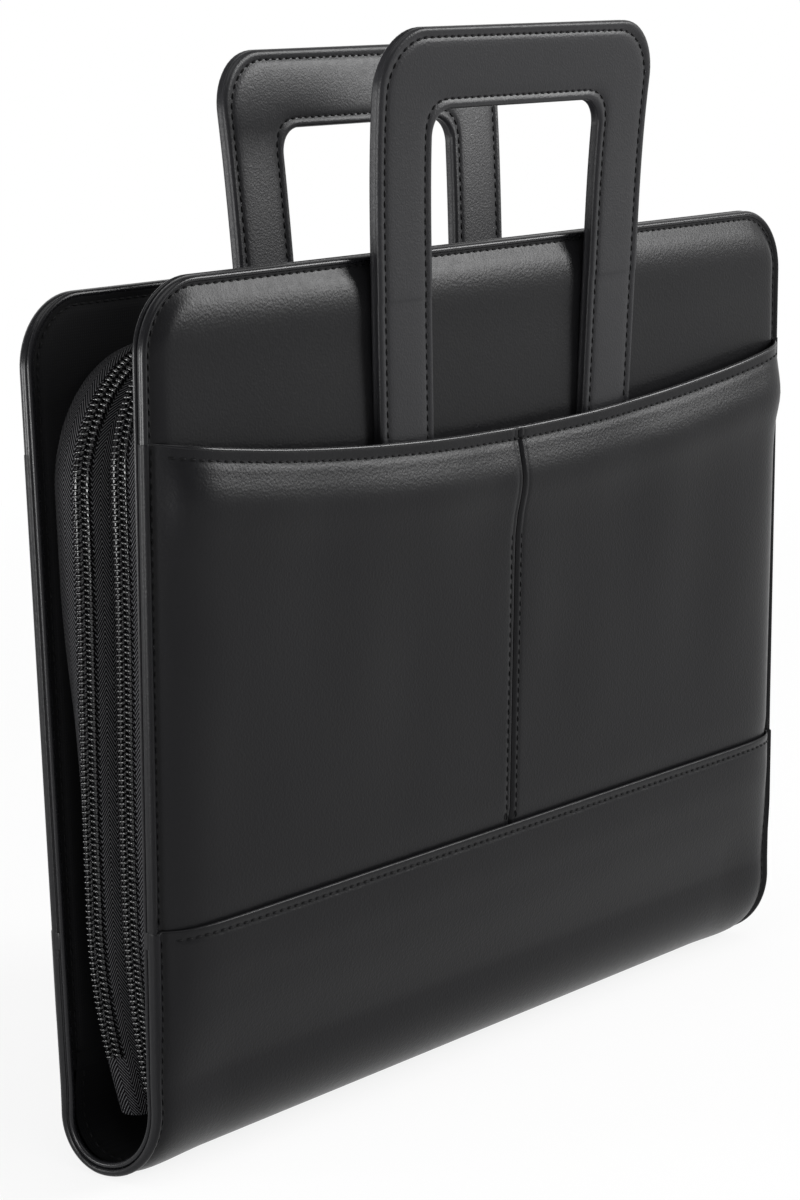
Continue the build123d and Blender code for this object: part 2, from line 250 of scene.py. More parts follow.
@dataclass(frozen=True)
class WovenLining(Finish):
    """Plain-woven polyester, dyed black: dull, with a faint crossing of threads."""

    strength: float = 0.6
    # Blender's wave pattern repeats every pi / 10 of its scaled length.
    wave: float = 0.314

    # Threads cross at right angles; the weave takes the gloss away and shows as a fine check.
    def pattern(self, tree: Tree, shader: Node) -> None:
        """Cross two sets of threads along the leaf's own directions."""
        place = piece_place(tree)
        # A thread is about 0.3 mm wide, drawn at the grain's width so that it shows.
        threads = [add_node(tree, "ShaderNodeTexWave", {
            "Vector": place, "Scale": self.wave / (self.grain * MM), "Distortion": 0.4,
            "Detail": 1.0}, bands_direction=direction).outputs[1] for direction in ("X", "Z")]
        weave = compute(tree, "MULTIPLY", *threads)
        self.emboss(tree, shader, weave)
        self.tint(tree, shader, weave)


@dataclass(frozen=True)
class HerringboneTape(Finish):
    """Zip tape: polyester woven in a herringbone, dull, with a painted sheen on its paler ribs."""

    band: float = 3.4
    slope: float = 1.5
    rib_foot: float = 0.42
    rib_top: float = 0.9

    # Slanting ribs turn back at each band, which gives the tape its rows of chevrons.
    def pattern(self, tree: Tree, shader: Node) -> None:
        """Draw slanting ribs that turn back at every band across the tape."""
        flat = add_node(tree, "ShaderNodeSeparateXYZ",
                        {0: add_node(tree, "ShaderNodeUVMap").outputs[0]}).outputs
        turn = compute(tree, "PINGPONG", flat[1], self.band)
        slant = compute(tree, "MULTIPLY_ADD", turn, self.slope, flat[0])
        # A rib is about 0.6 mm; it is drawn at the grain's width so that it shows.
        rib = compute(tree, "PINGPONG", slant, self.grain / 2)
        ridge = add_node(tree, "ShaderNodeMapRange", {
            "Value": compute(tree, "DIVIDE", rib, self.grain / 2), "From Min": self.rib_foot,
            "From Max": self.rib_top}, interpolation_type="SMOOTHSTEP").outputs["Result"]
        self.emboss(tree, shader, ridge)
        # The ribs are coloured paler than the gaps between them: painted sheen.
        self.tint(tree, shader, ridge)


@dataclass(frozen=True)
class SmoothFinish(Finish):
    """Moulded, painted or spun material that is nearly even, such as nylon, enamel or thread."""

    strength: float = 0.4
    coat: float = 0.0

    # Small waves of the surface keep the reflections from being perfect.
    def pattern(self, tree: Tree, shader: Node) -> None:
        """Vary colour and height a little at the size of the grain."""
        waves = noise(tree, self.grain, 3.0)
        self.emboss(tree, shader, waves)
        self.tint(tree, shader, waves)
        shader.inputs["Coat Weight"].default_value = self.coat


@dataclass(frozen=True)
class RuledPaper(Finish):
    """Uncoated writing paper: bright and dull, with feint rules and fine lines at its edges."""

    strength: float = 0.5
    rule: float = 7.1
    half_line: float = 0.2
    facing: float = -0.9

    # The sheets' edges show as fine lines, and the rules as thin lines on the top sheet.
    def pattern(self, tree: Tree, shader: Node) -> None:
        """Rule the top sheet and draw the edges of the sheets."""
        axes = add_node(tree, "ShaderNodeSeparateXYZ", {0: piece_place(tree)}).outputs
        swing = compute(tree, "PINGPONG", axes[0], self.rule * MM / 2)
        line = compute(tree, "LESS_THAN", swing, self.half_line * MM)
        normal = add_node(tree, "ShaderNodeNewGeometry").outputs["Normal"]
        outward = add_node(tree, "ShaderNodeSeparateXYZ", {0: normal}).outputs[1]
        front = compute(tree, "LESS_THAN", outward, self.facing)
        self.tint(tree, shader, compute(tree, "MULTIPLY", line, front))
        # A sheet is 0.1 mm thick; its edge is drawn at the grain's width so that it shows.
        edge = compute(tree, "PINGPONG", axes[1], self.grain * MM)
        self.emboss(tree, shader, compute(tree, "DIVIDE", edge, self.grain * MM))


LEATHERETTE = PebbledLeatherette("Leatherette_pebbled", "leatherette", "#131315", "#181819",
                                 0.31, 0.8, 0.085, ior=1.3, gloss=0.25)
# Over a cord or a fold the film is stretched smooth, so the edges shine in thin lines.
TURNED_EDGE = PebbledLeatherette("Leatherette_turned_edge", "leatherette", "#101012", "#141416",
                                 0.26, 0.8, 0.02, gloss=0.2)
# The handles' leatherette is given a paler colour than the covers', so that it renders lighter, and
# a duller film.
HANDLE_LEATHERETTE = PebbledLeatherette("Leatherette_handle", "leatherette", "#1d1d1f", "#242426",
                                        0.35, 0.65, 0.09, gloss=0.17)
LINING = WovenLining("Polyester_lining", "lining_fabric", "#0c0c0d", "#141416",
                     0.8, 0.9, 0.06, gloss=0.1)
# The zip tape's paler colour goes on its ribs as a painted sheen.
TAPE = HerringboneTape("Zip_tape_herringbone", "zip_tape", "#020203", "#4c4c4e",
                       0.8, 1.5, 0.3, gloss=0.08)
COIL = SmoothFinish("Nylon_coil", "zip_coil", "#060607", "#0a0a0b", 0.16, 2.0, 0.01, gloss=0.55)
THREAD = SmoothFinish("Polyester_thread", "leatherette", "#060607", "#0e0e0f",
                      0.6, 0.4, 0.05, gloss=0.1)
ENAMEL = SmoothFinish("Black_enamel", "zip_metal", "#141416", "#18181b", 0.25, 1.5, 0.01, coat=0.4)
GREYBOARD = SmoothFinish("Greyboard", "board", "#a89c88", "#978b78", 0.9, 0.8, 0.08)
PAPER = RuledPaper("Writing_paper", "paper", "#f3f1e6", "#a9b6c6", 0.85, 0.3, 0.05)
BINDING = SmoothFinish("Binding_cloth", "binding", "#1b1b1d", "#232326", 0.75, 0.6, 0.08)
ELASTIC = WovenLining("Woven_elastic", "elastic", "#161617", "#2a2a2c", 0.8, 0.9, 0.1)


def paint(piece: Piece, finish: Finish) -> None:
    """Give a piece one finish and no other."""
    piece.data.materials.clear()
    piece.data.materials.append(finish.material())


# Meshes and paths

def circle(radius: float, sides: int) -> Array:
    """Outline of a round bead."""
    turn = np.linspace(0, 2 * math.pi, sides, endpoint=False)
    return np.stack([radius * np.cos(turn), radius * np.sin(turn)], -1)


def squared_circle(sides: int, power: float) -> tuple[Array, Array]:
    """Outline between a circle and a square, as its two coordinates."""
    round_x, round_y = circle(1.0, sides).T
    return np.sign(round_x) * np.abs(round_x) ** power, np.sign(round_y) * np.abs(round_y) ** power


def unit(vectors: Array) -> Array:
    """Scale vectors to length one."""
    return vectors / np.maximum(np.linalg.norm(vectors, axis=-1, keepdims=True), 1e-9)


def spread(*coordinates: Any) -> Array:
    """Points from coordinates that are spread over one another."""
    return np.stack(np.broadcast_arrays(*coordinates), -1)


def lengths(path: Array) -> Array:
    """Length along a path at each of its points."""
    return np.r_[0.0, np.cumsum(np.linalg.norm(np.diff(path, axis=0), axis=1))]


def sample(at: Array, along: Array, values: Array) -> Array:
    """Points or directions at some lengths along a path."""
    return np.stack([np.interp(at, along, values[:, k]) for k in range(3)], -1)


def quads(rows: int, columns: int, ring_rows: bool = False,
          ring_columns: bool = False) -> list[list[int]]:
    """Number the corners of the quads in a net.

    Args:
        rows: Rows of points.
        columns: Points in a row.
        ring_rows: Join the last row to the first.
        ring_columns: Join the last column to the first.

    Returns:
        Four point numbers for each quad.
    """
    index = np.arange(rows * columns).reshape(rows, columns)
    if ring_rows:
        index = np.vstack([index, index[:1]])
    if ring_columns:
        index = np.hstack([index, index[:, :1]])
    corners = [index[:-1, :-1], index[:-1, 1:], index[1:, 1:], index[1:, :-1]]
    return np.stack(corners, -1).reshape(-1, 4).tolist()


@dataclass
class Shape:
    """Points in millimetres, faces and flat coordinates of one mesh while it is put together."""

    points: list[Array] = field(default_factory=list)
    faces: list[list[int]] = field(default_factory=list)
    flats: list[Array] = field(default_factory=list)
    count: int = 0

    def add(self, points: Array, faces: Sequence[Sequence[int]],
            flat: Optional[Array] = None) -> None:
        """Add loose points and the faces between them.

        Args:
            points: One row for each point.
            faces: Point numbers of each face, counted from this batch.
            flat: Flat coordinates of the points, in millimetres.
        """
        points = np.asarray(points, float).reshape(-1, 3)
        flat = np.zeros((len(points), 2)) if flat is None else flat.reshape(-1, 2)
        self.faces += [[i + self.count for i in face] for face in faces]
        self.points.append(points)
        self.flats.append(flat)
        self.count += len(points)

    def grid(self, grid: Array, ring_rows: bool = False, ring_columns: bool = False,
             flat: Optional[Array] = None, cap_columns: bool = False,
             fill_rows: Sequence[int] = (), fill_columns: Sequence[int] = ()) -> "Shape":
        """Add a net of quads.

        Args:
            grid: Points by row and column.
            ring_rows: Join the last row to the first.
            ring_columns: Join the last column to the first.
            flat: Flat coordinates by row and column.
            cap_columns: Close both ends of a net whose rows form a ring with a strip of quads.
            fill_rows: Rows that are each filled with one face.
            fill_columns: Columns that are each filled with one face.

        Returns:
            The same mesh.
        """
        rows, columns = grid.shape[:2]
        index = np.arange(rows * columns).reshape(rows, columns)
        faces = quads(rows, columns, ring_rows, ring_columns)
        if cap_columns:
            half = rows // 2
            for end in (index[:, 0].tolist(), index[:, -1].tolist()):
                faces += [[end[i], end[i + 1], end[rows - 2 - i], end[rows - 1 - i]]
                          for i in range(half - 1)]
                if rows % 2:
                    faces.append(end[half - 1:half + 2])
        faces += [index[row].tolist() for row in fill_rows]
        faces += [index[:, column].tolist() for column in fill_columns]
        self.add(grid, faces, flat)
        return self

    def tube(self, path: Array, across: Array, up: Array, profile: Array,
             ends: bool = True) -> "Shape":
        """Sweep a closed outline along a path.

        Args:
            path: Points of the path.
            across: First direction of the outline at each point.
            up: Second direction of the outline at each point.
            profile: Closed outline as pairs.
            ends: Close both ends.

        Returns:
            The same mesh.
        """
        grid = path[:, None] + across[:, None] * profile[None, :, :1] \
            + up[:, None] * profile[None, :, 1:2]
        return self.grid(grid, ring_columns=True, fill_rows=(0, -1) if ends else ())

    def scatter(self, points: Array, faces: Sequence[Sequence[int]], origins: Array,
                axes: Array) -> None:
        """Set one small form many times.

        Args:
            points: Points of the form in its own three directions.
            faces: Faces of the form.
            origins: Place of each copy.
            axes: Three directions of each copy, as rows.
        """
        placed = origins[:, None] + np.einsum("pk,nkd->npd", points, axes)
        first = len(points) * np.arange(len(origins))
        every = np.array(faces)[None] + first[:, None, None]
        self.add(placed, every.reshape(-1, len(faces[0])).tolist())

    def build(self, name: str, sharp: float = 60.0) -> Piece:
        """Make the Blender object.

        Args:
            name: Name of the piece.
            sharp: Angle in degrees from which an edge stays sharp.

        Returns:
            The linked object.
        """
        mesh = bpy.data.meshes.new(name)
        mesh.from_pydata((np.vstack(self.points) * MM).tolist(), [], self.faces)
        tidy = bmesh.new()
        tidy.from_mesh(mesh)
        bmesh.ops.recalc_face_normals(tidy, faces=tidy.faces[:])
        tidy.to_mesh(mesh)
        tidy.free()
        mesh.shade_smooth()
        mesh.set_sharp_from_angle(angle=math.radians(sharp))
        corner = np.zeros(len(mesh.loops), np.int64)
        mesh.loops.foreach_get("vertex_index", corner)
        layer = mesh.uv_layers.new(name="flat")
        layer.data.foreach_set("uv", np.vstack(self.flats)[corner].astype(np.float32).ravel())
        piece = bpy.data.objects.new(name, mesh)
        bpy.context.scene.collection.objects.link(piece)
        return piece

    def dress(self, name: str, finish: Finish, body: Optional[str] = None,
              nodes: Sequence[str] = (), sharp: float = 60.0) -> Piece:
        """Build a piece and give it its finish, its body and the CAD nodes that it stands for.

        Args:
            name: Name of the piece.
            finish: Its material.
            body: Body that it rides on, or nothing, which leaves it unattached.
            nodes: CAD nodes that it replaces.
            sharp: Angle in degrees from which an edge stays sharp.

        Returns:
            The dressed piece.
        """
        piece = self.build(name, sharp)
        paint(piece, finish)
        if body:
            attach(piece, body)
        if nodes:
            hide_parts(*nodes)
        LOG.info("%s: %d faces on %s", name, len(piece.data.polygons), body or "two bodies")
        return piece


@dataclass(frozen=True)
class StitchRow:
    """Lockstitch in thick thread: short dashes that dip into the leatherette at both ends."""

    pitch: float = 3.4
    length: float = 2.5
    radius: float = 0.36
    sides: int = 6
    feel: float = 0.6
    reach: tuple[float, ...] = (-1.0, -0.8, -0.35, 0.35, 0.8, 1.0)
    girth: tuple[float, ...] = (0.35, 0.8, 1.0, 1.0, 0.8, 0.35)
    lift: tuple[float, ...] = (-0.34, -0.08, 0.1, 0.1, -0.08, -0.34)

    def sew(self, shape: Shape, path: Array, normals: Array) -> None:
        """Set the stitches of one row.

        Args:
            shape: Mesh that takes the stitches.
            path: Points of the row on the surface.
            normals: Outward direction at each point.
        """
        along = lengths(path)
        count = max(2, int(round(along[-1] / self.pitch)))
        at = (np.arange(count) + 0.5) * along[-1] / count
        ahead = unit(sample(at + self.feel, along, path) - sample(at - self.feel, along, path))
        up = sample(at, along, normals)
        up = unit(up - ahead * (up * ahead).sum(-1, keepdims=True))
        axes = np.stack([ahead, np.cross(up, ahead), up], 1)
        ring = circle(1.0, self.sides)[None]
        girth = np.array(self.girth)[:, None] * self.radius
        points = spread(np.array(self.reach)[:, None] * self.length / 2, girth * ring[..., 0],
                        np.array(self.lift)[:, None] + girth * ring[..., 1])
        faces = quads(len(self.reach), self.sides, ring_columns=True)
        shape.scatter(points.reshape(-1, 3), faces, sample(at, along, path), axes)


STITCH = StitchRow()


def ring_loops(half: float, bottom: float, top: float, radius: float, insets: Array,
               right_radius: Optional[float] = None) -> tuple[Array, Array]:
    """Nested outlines of a panel with two round top corners.

    Args:
        half: Half the panel's width.
        bottom: Lower edge.
        top: Upper edge.
        radius: Radius of the top corners.
        insets: How far each outline is drawn in.
        right_radius: Radius of the right corner, where it differs from the left.

    Returns:
        Horizontal and vertical places, by outline and point.
    """
    sides, corners, level, least = 34, 14, 48, 0.5
    turn = np.linspace(0, QUARTER_TURN, corners, endpoint=False)
    cos, sin = np.cos(turn), np.sin(turn)
    rows_x, rows_w = [], []
    for d in insets:
        h, b, t, r = half - d, bottom + d, top - d, max(radius - d, least)
        far = r if right_radius is None else max(right_radius - d, least)
        left = np.linspace(b, t - r, sides, endpoint=False)
        right = np.linspace(b, t - far, sides, endpoint=False)[::-1]
        over = np.linspace(-h + r, h - far, level, endpoint=False)
        under = np.linspace(h, -h, level, endpoint=False)
        rows_x.append(np.r_[np.full(sides, -h), -h + r - r * cos, over,
                            (h - far + far * cos)[::-1], np.full(sides, h), under])
        rows_w.append(np.r_[left, t - r + r * sin, np.full(level, t), (t - far + far * sin)[::-1],
                            right, np.full(level, b)])
    return np.array(rows_x), np.array(rows_w)


def arch_path(half: float, bottom: float, top: float, radius: float, end: Optional[float] = None,
              step: float = 2.0, right_radius: Optional[float] = None) -> tuple[Array, Array]:
    """Path up one side, over the top and down the other side.

    Args:
        half: Half the width of the path.
        bottom: Height of the left end.
        top: Height of the top run.
        radius: Radius of the corners.
        end: Height of the right end, where it differs from the left.
        step: Spacing of the points.
        right_radius: Radius of the right corner, where it differs from the left.

    Returns:
        Points and outward directions, as horizontal and vertical pairs.
    """
    end = bottom if end is None else end
    far = radius if right_radius is None else right_radius
    turn = np.linspace(0, QUARTER_TURN, max(8, int(radius * 1.57 / step)), endpoint=False)
    cos, sin = np.cos(turn), np.sin(turn)
    rise = np.linspace(bottom, top - radius, max(3, int((top - radius - bottom) / step)),
                       endpoint=False)
    fall = np.linspace(top - far, end, max(3, int((top - far - end) / step)))
    over = np.linspace(-half + radius, half - far,
                       max(3, int((2 * half - radius - far) / step)), endpoint=False)
    up, level, down = np.ones(len(rise)), np.ones(len(over)), np.ones(len(fall))
    x = np.r_[-half * up, -half + radius - radius * cos, over, half - far + far * sin, half * down]
    z = np.r_[rise, top - radius + radius * sin, top * level, top - far + far * cos, fall]
    out_x = np.r_[-up, -cos, 0 * level, sin, down]
    out_z = np.r_[0 * up, sin, level, cos, 0 * down]
    return np.stack([x, z], -1), np.stack([out_x, out_z], -1)


# The case

class Side(Enum):
    """The two matching halves of the case."""

    FRONT = "front"
    BACK = "back"

    @property
    def sign(self) -> float:
        """Direction of this half along Y."""
        return self.pick(-1.0, 1.0)

    def pick(self, front: Any, back: Any) -> Any:
        """Value for this half."""
        return front if self is Side.FRONT else back

    def node(self, name: str) -> str:
        """Name of this half's node."""
        return f"{self.value}_{name}"


@dataclass(frozen=True)
class CaseSection:
    """Line that the leatherette follows from under the spine up to the top of one cover.

    All lengths are in millimetres: s runs along the line from the middle of the spine's underside,
    x along the spine and n outward from the surface.
    """

    side: Side
    half_width: float = 170.0
    half_depth: float = 22.0
    middle: float = 5.0
    splay: float = math.radians(1.3)
    cover_height: float = 252.0

    @property
    def radius(self) -> float:
        """Radius of the spine's corner on this side."""
        return self.side.pick(27.0, 17.0)

    @property
    def drop(self) -> float:
        """How much lower this side stands than the front."""
        return self.side.pick(0.0, 7.0)

    @property
    def hinge_height(self) -> float:
        """Height of the living hinge."""
        return 33.0 - self.drop

    @property
    def flat(self) -> float:
        """Length of the flat underside on this side."""
        return self.half_depth - self.side.sign * self.middle - self.radius

    @property
    def hinge(self) -> float:
        """Length along the line at the living hinge."""
        return self.flat + self.radius * QUARTER_TURN + self.hinge_height - self.radius

    def place(self, x: Any, s: Any, n: Any) -> Array:
        """Point for a position along the spine, along the line and outward.

        Args:
            x: Position along the spine.
            s: Length along the line.
            n: Distance outward from the line.

        Returns:
            Points in millimetres, in the shared frame.
        """
        x, s, n = np.broadcast_arrays(*[np.asarray(v, float) for v in (x, s, n)])
        radius, lean = self.radius, QUARTER_TURN - self.splay
        turn = np.clip((s - self.flat) / radius, 0.0, QUARTER_TURN)
        climb = np.clip(s - self.flat - radius * QUARTER_TURN, 0.0, self.hinge_height - radius)
        w = np.maximum(s - self.hinge, 0.0)
        facing = np.where(s > self.hinge, lean, turn)
        out = np.minimum(s, self.flat) + radius * np.sin(turn) + w * math.cos(lean)
        up = radius * (1 - np.cos(turn)) + climb + w * math.sin(lean)
        out, up = out + n * np.sin(facing), up - n * np.cos(facing)
        return np.stack([x, self.middle + self.side.sign * out, up], -1)

    def cover(self, x: Any, w: Any, n: Any) -> Array:
        """Point on the cover, w above its hinge."""
        return self.place(x, self.hinge + np.asarray(w, float), n)

    def sew(self, shape: Shape, x: Any, s: Any, n: Any, way: float = 1.0) -> None:
        """Set a row of stitches along a line, standing out of the case or, with a way of -1, in."""
        row = self.place(x, s, n)
        STITCH.sew(shape, row, self.place(x, s, n + way) - row)


# A cover's nested outlines lie closest where its skin bends most.
COVER_INSETS = np.array([0.4, 1.0, 1.5, 1.9, 2.3, 2.8, 3.6, 4.6, 5.8, 7.2, 9.0, 11.0, 13.5, 16.5,
                         20.0, 25.0, 32.0, 45.0, 65.0, 90.0, 110.0])


@dataclass
class Cover:
    """One cover: padded skin, lining and the two turned edges that meet round its rim."""

    section: CaseSection
    corner: float = 22.0
    skin_bead: float = 1.75
    lining_bead: float = 0.85
    lining_bead_depth: float = 4.35
    spine_skin_bead: float = 1.15
    spine_lining_bead: float = 1.05
    spine_lining_bead_depth: float = 3.35
    bead_reach: float = 1.2
    bead_start: float = 4.0
    stitch_inset: float = 1.9
    stitch_start: float = 205.0
    stitch_sink: float = 1.05
    skin_start: float = 28.0
    skin_rise: float = 1.3
    skin_rise_run: float = 3.5
    edge_rise: float = 0.3
    edge: Ease = Ease(0.0, -1.2)
    padded: Ease = Ease(0.0, 5.0)
    pad: float = 1.6
    pad_roll: float = 55.0
    pad_foot: Ease = Ease(140.0, 50.0)
    crown: Ridge = Ridge(0.8, 9.0, 14.0)
    lining_start: float = 5.0
    lining_depth: float = 5.05
    lining_stitch_inset: float = 2.9
    lining_stitch_start: float = 12.0
    lining_stitch_depth: float = 4.5
    lining_seam: Ridge = Ridge(0.6, 1.4)

    @property
    def body(self) -> str:
        """Body that the cover's pieces ride on."""
        return self.section.side.node("cover")

    def skin_height(self, d: Array, w: Array) -> Array:
        """Height of the padded skin.

        Args:
            d: Distance in from the edge.
            w: Height above the hinge.

        Returns:
            Distance outward from the cover's plane.
        """
        inside = d - self.stitch_inset
        rise = self.skin_rise * (1 - np.exp(-np.maximum(inside, 0) / self.skin_rise_run))
        below = np.clip(self.section.cover_height - w, 0.0, None)
        roll = 1 - np.clip(1 - below / self.pad_roll, 0.0, 1.0) ** 2
        swell = self.pad * roll * self.pad_foot.at(w) + self.crown.at(below)
        return rise - self.stitch_sink + self.edge_rise * self.edge.at(inside) \
            + swell * self.padded.at(inside)

    def lining_height(self, d: Array, _: Array) -> Array:
        """Height of the lining, drawn up at its seam."""
        return self.lining_seam.at(d - self.lining_stitch_inset) - self.lining_depth

    def panel(self, start: float, height: Callable[[Array, Array], Array]) -> Shape:
        """Panel over the whole cover.

        Args:
            start: Height of its lower edge above the hinge.
            height: Distance outward for a distance in from the edge and a height above the hinge.

        Returns:
            The mesh of the panel.
        """
        section = self.section
        x, w = ring_loops(section.half_width, start, section.cover_height, self.corner,
                          COVER_INSETS)
        d = np.broadcast_to(COVER_INSETS[:, None], x.shape)
        return Shape().grid(section.cover(x, w, height(d, w)), ring_columns=True, fill_rows=(-1,))

    def arch(self, start: float, inset: float) -> tuple[Array, Array]:
        """Path round the cover at a distance in from its edge, with outward directions."""
        return arch_path(self.section.half_width - inset, start, self.section.cover_height - inset,
                         self.corner - inset)

    def skin(self) -> None:
        """Outside skin over the board."""
        side = self.section.side
        piece = self.panel(self.skin_start, self.skin_height).dress(
            side.node("upper_skin"), LEATHERETTE, self.body,
            [side.node("cover_skin"), side.node("cover_board")])
        side.node("cover_board")

    def lining(self) -> None:
        """Inside lining."""
        side = self.section.side
        piece = self.panel(self.lining_start, self.lining_height).dress(
            side.node("inside_lining"), LINING, self.body, [side.node("cover_lining")])
        side.node("cover_board")

    def rim(self) -> None:
        """Turned edges of the skin and of the lining, side by side round the rim."""
        cover = self.section.cover
        path, out = self.arch(self.bead_start, 0.0)
        for name, radius, depth in (("skin_edge", self.skin_bead, self.skin_bead),
                                    ("lining_edge", self.lining_bead, self.lining_bead_depth)):
            line = cover(path[:, 0], path[:, 1], -depth)
            tip = cover(path[:, 0] + out[:, 0], path[:, 1] + out[:, 1], -depth)
            outward = cover(path[:, 0], path[:, 1], 1.0 - depth)
            oval = circle(1.0, BEAD_SIDES) * [self.bead_reach, radius]
            Shape().tube(line, tip - line, outward - line, oval).dress(
                self.section.side.node(name), TURNED_EDGE, self.body)

    def stitching(self) -> None:
        """Rows of stitches round the skin and round the lining."""
        shape = Shape()
        rows = ((self.stitch_start, self.stitch_inset, -self.stitch_sink, 1.0),
                (self.lining_stitch_start, self.lining_stitch_inset, -self.lining_stitch_depth,
                 -1.0))
        for start, inset, depth, way in rows:
            path, _ = self.arch(start, inset)
            self.section.sew(shape, path[:, 0], self.section.hinge + path[:, 1], depth, way)
        shape.dress(self.section.side.node("edge_stitches"), THREAD, self.body)

    def make(self) -> None:
        """Build and dress the whole cover."""
        self.skin()
        self.lining()
        self.rim()
        self.stitching()


# Waves of the pocket's slack sheets: share, turn per millimetre along and up, and phase.
SLACK_WAVES = ((1.0, 0.045, 0.06, 0.0), (1.0, 0.083, -0.05, 1.7), (0.6, 0.15, 0.0, 0.9))


@dataclass
class OutsidePocket:
    """Pocket of two sheets that meet at a centre seam, and the panel that wraps under the spine."""

    section: CaseSection
    cover: Cover
    sheet: float = 1.0
    edge_sheet: float = 0.15
    edge_lift: float = 0.2
    hem: float = 2.6
    hem_fold: float = 0.5
    hem_end: Ease = Ease(9.0, -1.2)
    ramp: float = 7.0
    press: float = 1.4
    press_run: float = 2.4
    stitch_sink: float = 0.85
    lip_sides: float = 204.0
    lip_centre: float = 190.0
    seam: float = 51.0
    seam_room: float = 5.0
    lip_room: float = 8.0
    fill: float = 0.6
    fullness: float = 0.35
    overlap: float = 0.9
    edge_overlap: float = 0.1
    tuck: float = 8.0
    tuck_sink: float = 1.05
    tucked: Ease = Ease(0.5, -1.5)
    near_edge: Ease = Ease(0.0, 1.9)
    free: Ease = Ease(4.0, 5.0)
    lip_stitch: float = 3.3
    lip_swell: Ridge = Ridge(2.8, 11.0, 17.5)
    lip_groove: Ridge = Ridge(-0.3, 1.6)
    lip_pinch: Ridge = Ridge(-0.4, 1.3)
    roll_radius: float = 0.5
    roll_gain: float = 0.3
    roll_lift: float = 0.1
    roll_proud: float = 0.12
    seam_stitch: float = 2.7
    seam_swell: Ridge = Ridge(0.7, 9.0, 14.0)
    seam_groove: Ridge = Ridge(-0.45, 1.2)
    centre_stitch: float = 2.6
    centre_crease: Ridge = Ridge(-0.8, 0.9)
    centre_groove: Ridge = Ridge(-0.22, 0.7)
    slack_height: float = 0.16
    slack_sides: Ease = Ease(5.0, 25.0)
    slack_middle: Ease = Ease(0.0, 12.0)
    slack_foot: Ease = Ease(0.0, 70.0)
    wrap_lift: float = 0.3
    wrap_fold: float = 0.55
    wrap_tuck: float = 5.0
    wrap_rise: Ease = Ease(0.0, 26.0)
    underside_sink: float = 0.9
    underside: Ease = Ease(3.7, 30.0)
    hinge_reach: float = 9.0
    spine_flat: float = 10.0
    # Under the wrap the beads are a little slimmer, so that the wrap covers them.
    bead_play: float = 0.06
    bead_share: float = 0.97
    # Depth of the spine's lining in the middle, past the flat, at the hinge and on the cover.
    spine_lining_depths: tuple[float, ...] = (3.4, 3.5, 3.6, 5.1)
    spine_lining_inset: float = 2.2
    spine_stitch_inset: float = 6.0
    spine_stitch_lift: float = 0.1

    def lip(self, x: Array) -> Array:
        """Dip of the lip, an arc from side to side.

        Args:
            x: Place along the spine.

        Returns:
            Height of the lip above the hinge.
        """
        dip, half = self.lip_sides - self.lip_centre, self.section.half_width
        radius = (half ** 2 + dip ** 2) / (2 * dip)
        return self.lip_centre + radius - np.sqrt(radius ** 2 - np.minimum(np.abs(x), half) ** 2)

    def lip_form(self, below: Any) -> Array:
        """Relief of the hemmed lip: a groove at the stitches and a soft swell under it."""
        return self.lip_swell.at(below) + self.lip_groove.at(below - self.lip_stitch)

    def seam_form(self, below: Any) -> Array:
        """Relief of the lower panel under its turned edge."""
        return self.seam_swell.at(below) + self.seam_groove.at(below - self.seam_stitch)

    def slack(self, x: Array, w: Array) -> Array:
        """Soft unevenness of the sheets, strongest at the open lip.

        Args:
            x: Place along the spine.
            w: Height above the hinge.

        Returns:
            Distance outward from the even sheet.
        """
        waves = sum(share * np.sin(along * x + up * w + phase)
                    for share, along, up, phase in SLACK_WAVES)
        side = self.slack_sides.at(self.section.half_width - np.abs(x))
        held = side * self.slack_middle.at(np.abs(x))
        return self.slack_height * waves * held * self.slack_foot.at(w - self.seam)

    def room(self, w: Array) -> Array:
        """Room behind the sheets.

        Args:
            w: Height above the hinge.

        Returns:
            Depth from the cover to the sheets.
        """
        gain = (self.lip_room - self.seam_room) / (self.lip_sides - self.seam)
        t = np.clip(w / self.seam, 0.0, 1.0)
        below = self.seam_room * t * (1 + self.fullness - self.fullness * t)
        return np.where(w > self.seam, self.seam_room + (w - self.seam) * gain, below)

    def height(self, u: Array, w: Array) -> Array:
        """Outer surface of the sheets inside their side stitches.

        Args:
            u: Distance in from the side edge.
            w: Height above the hinge.

        Returns:
            Distance outward from the cover's plane.
        """
        near = np.maximum(u - self.cover.stitch_inset, 0)
        pressed = self.press * (1 - np.exp(-near / self.press_run)) - self.stitch_sink
        risen = 1 - np.exp(-np.maximum(u - self.hem, 0) / self.ramp)
        return pressed + risen * (self.room(w) + self.fill)

    def columns(self) -> tuple[Array, Array, Array]:
        """Places across one half, from round the edge bead to the centre seam.

        Returns:
            Distances in from the edge, turns round the bead, and which of them lie on the bead.
        """
        inner = self.section.half_width
        turn = np.radians([-38, -25, -10, 5, 22, 40, 60, 78])
        face = np.r_[0.15, 0.7, 1.2, 1.55, 1.9, 2.25, 2.7, 3.3, 4.2, 5.2,
                     np.linspace(6.4, 36.0, 20), np.linspace(40.0, inner - 6, 26),
                     inner - np.array([4.6, 3.6, 3.0, 2.6, 2.2, 1.6, 1.0, 0.5, 0.15])]
        u = np.r_[np.zeros(len(turn)), face]
        return u, np.r_[turn, np.zeros(len(face))], np.arange(len(u)) < len(turn)

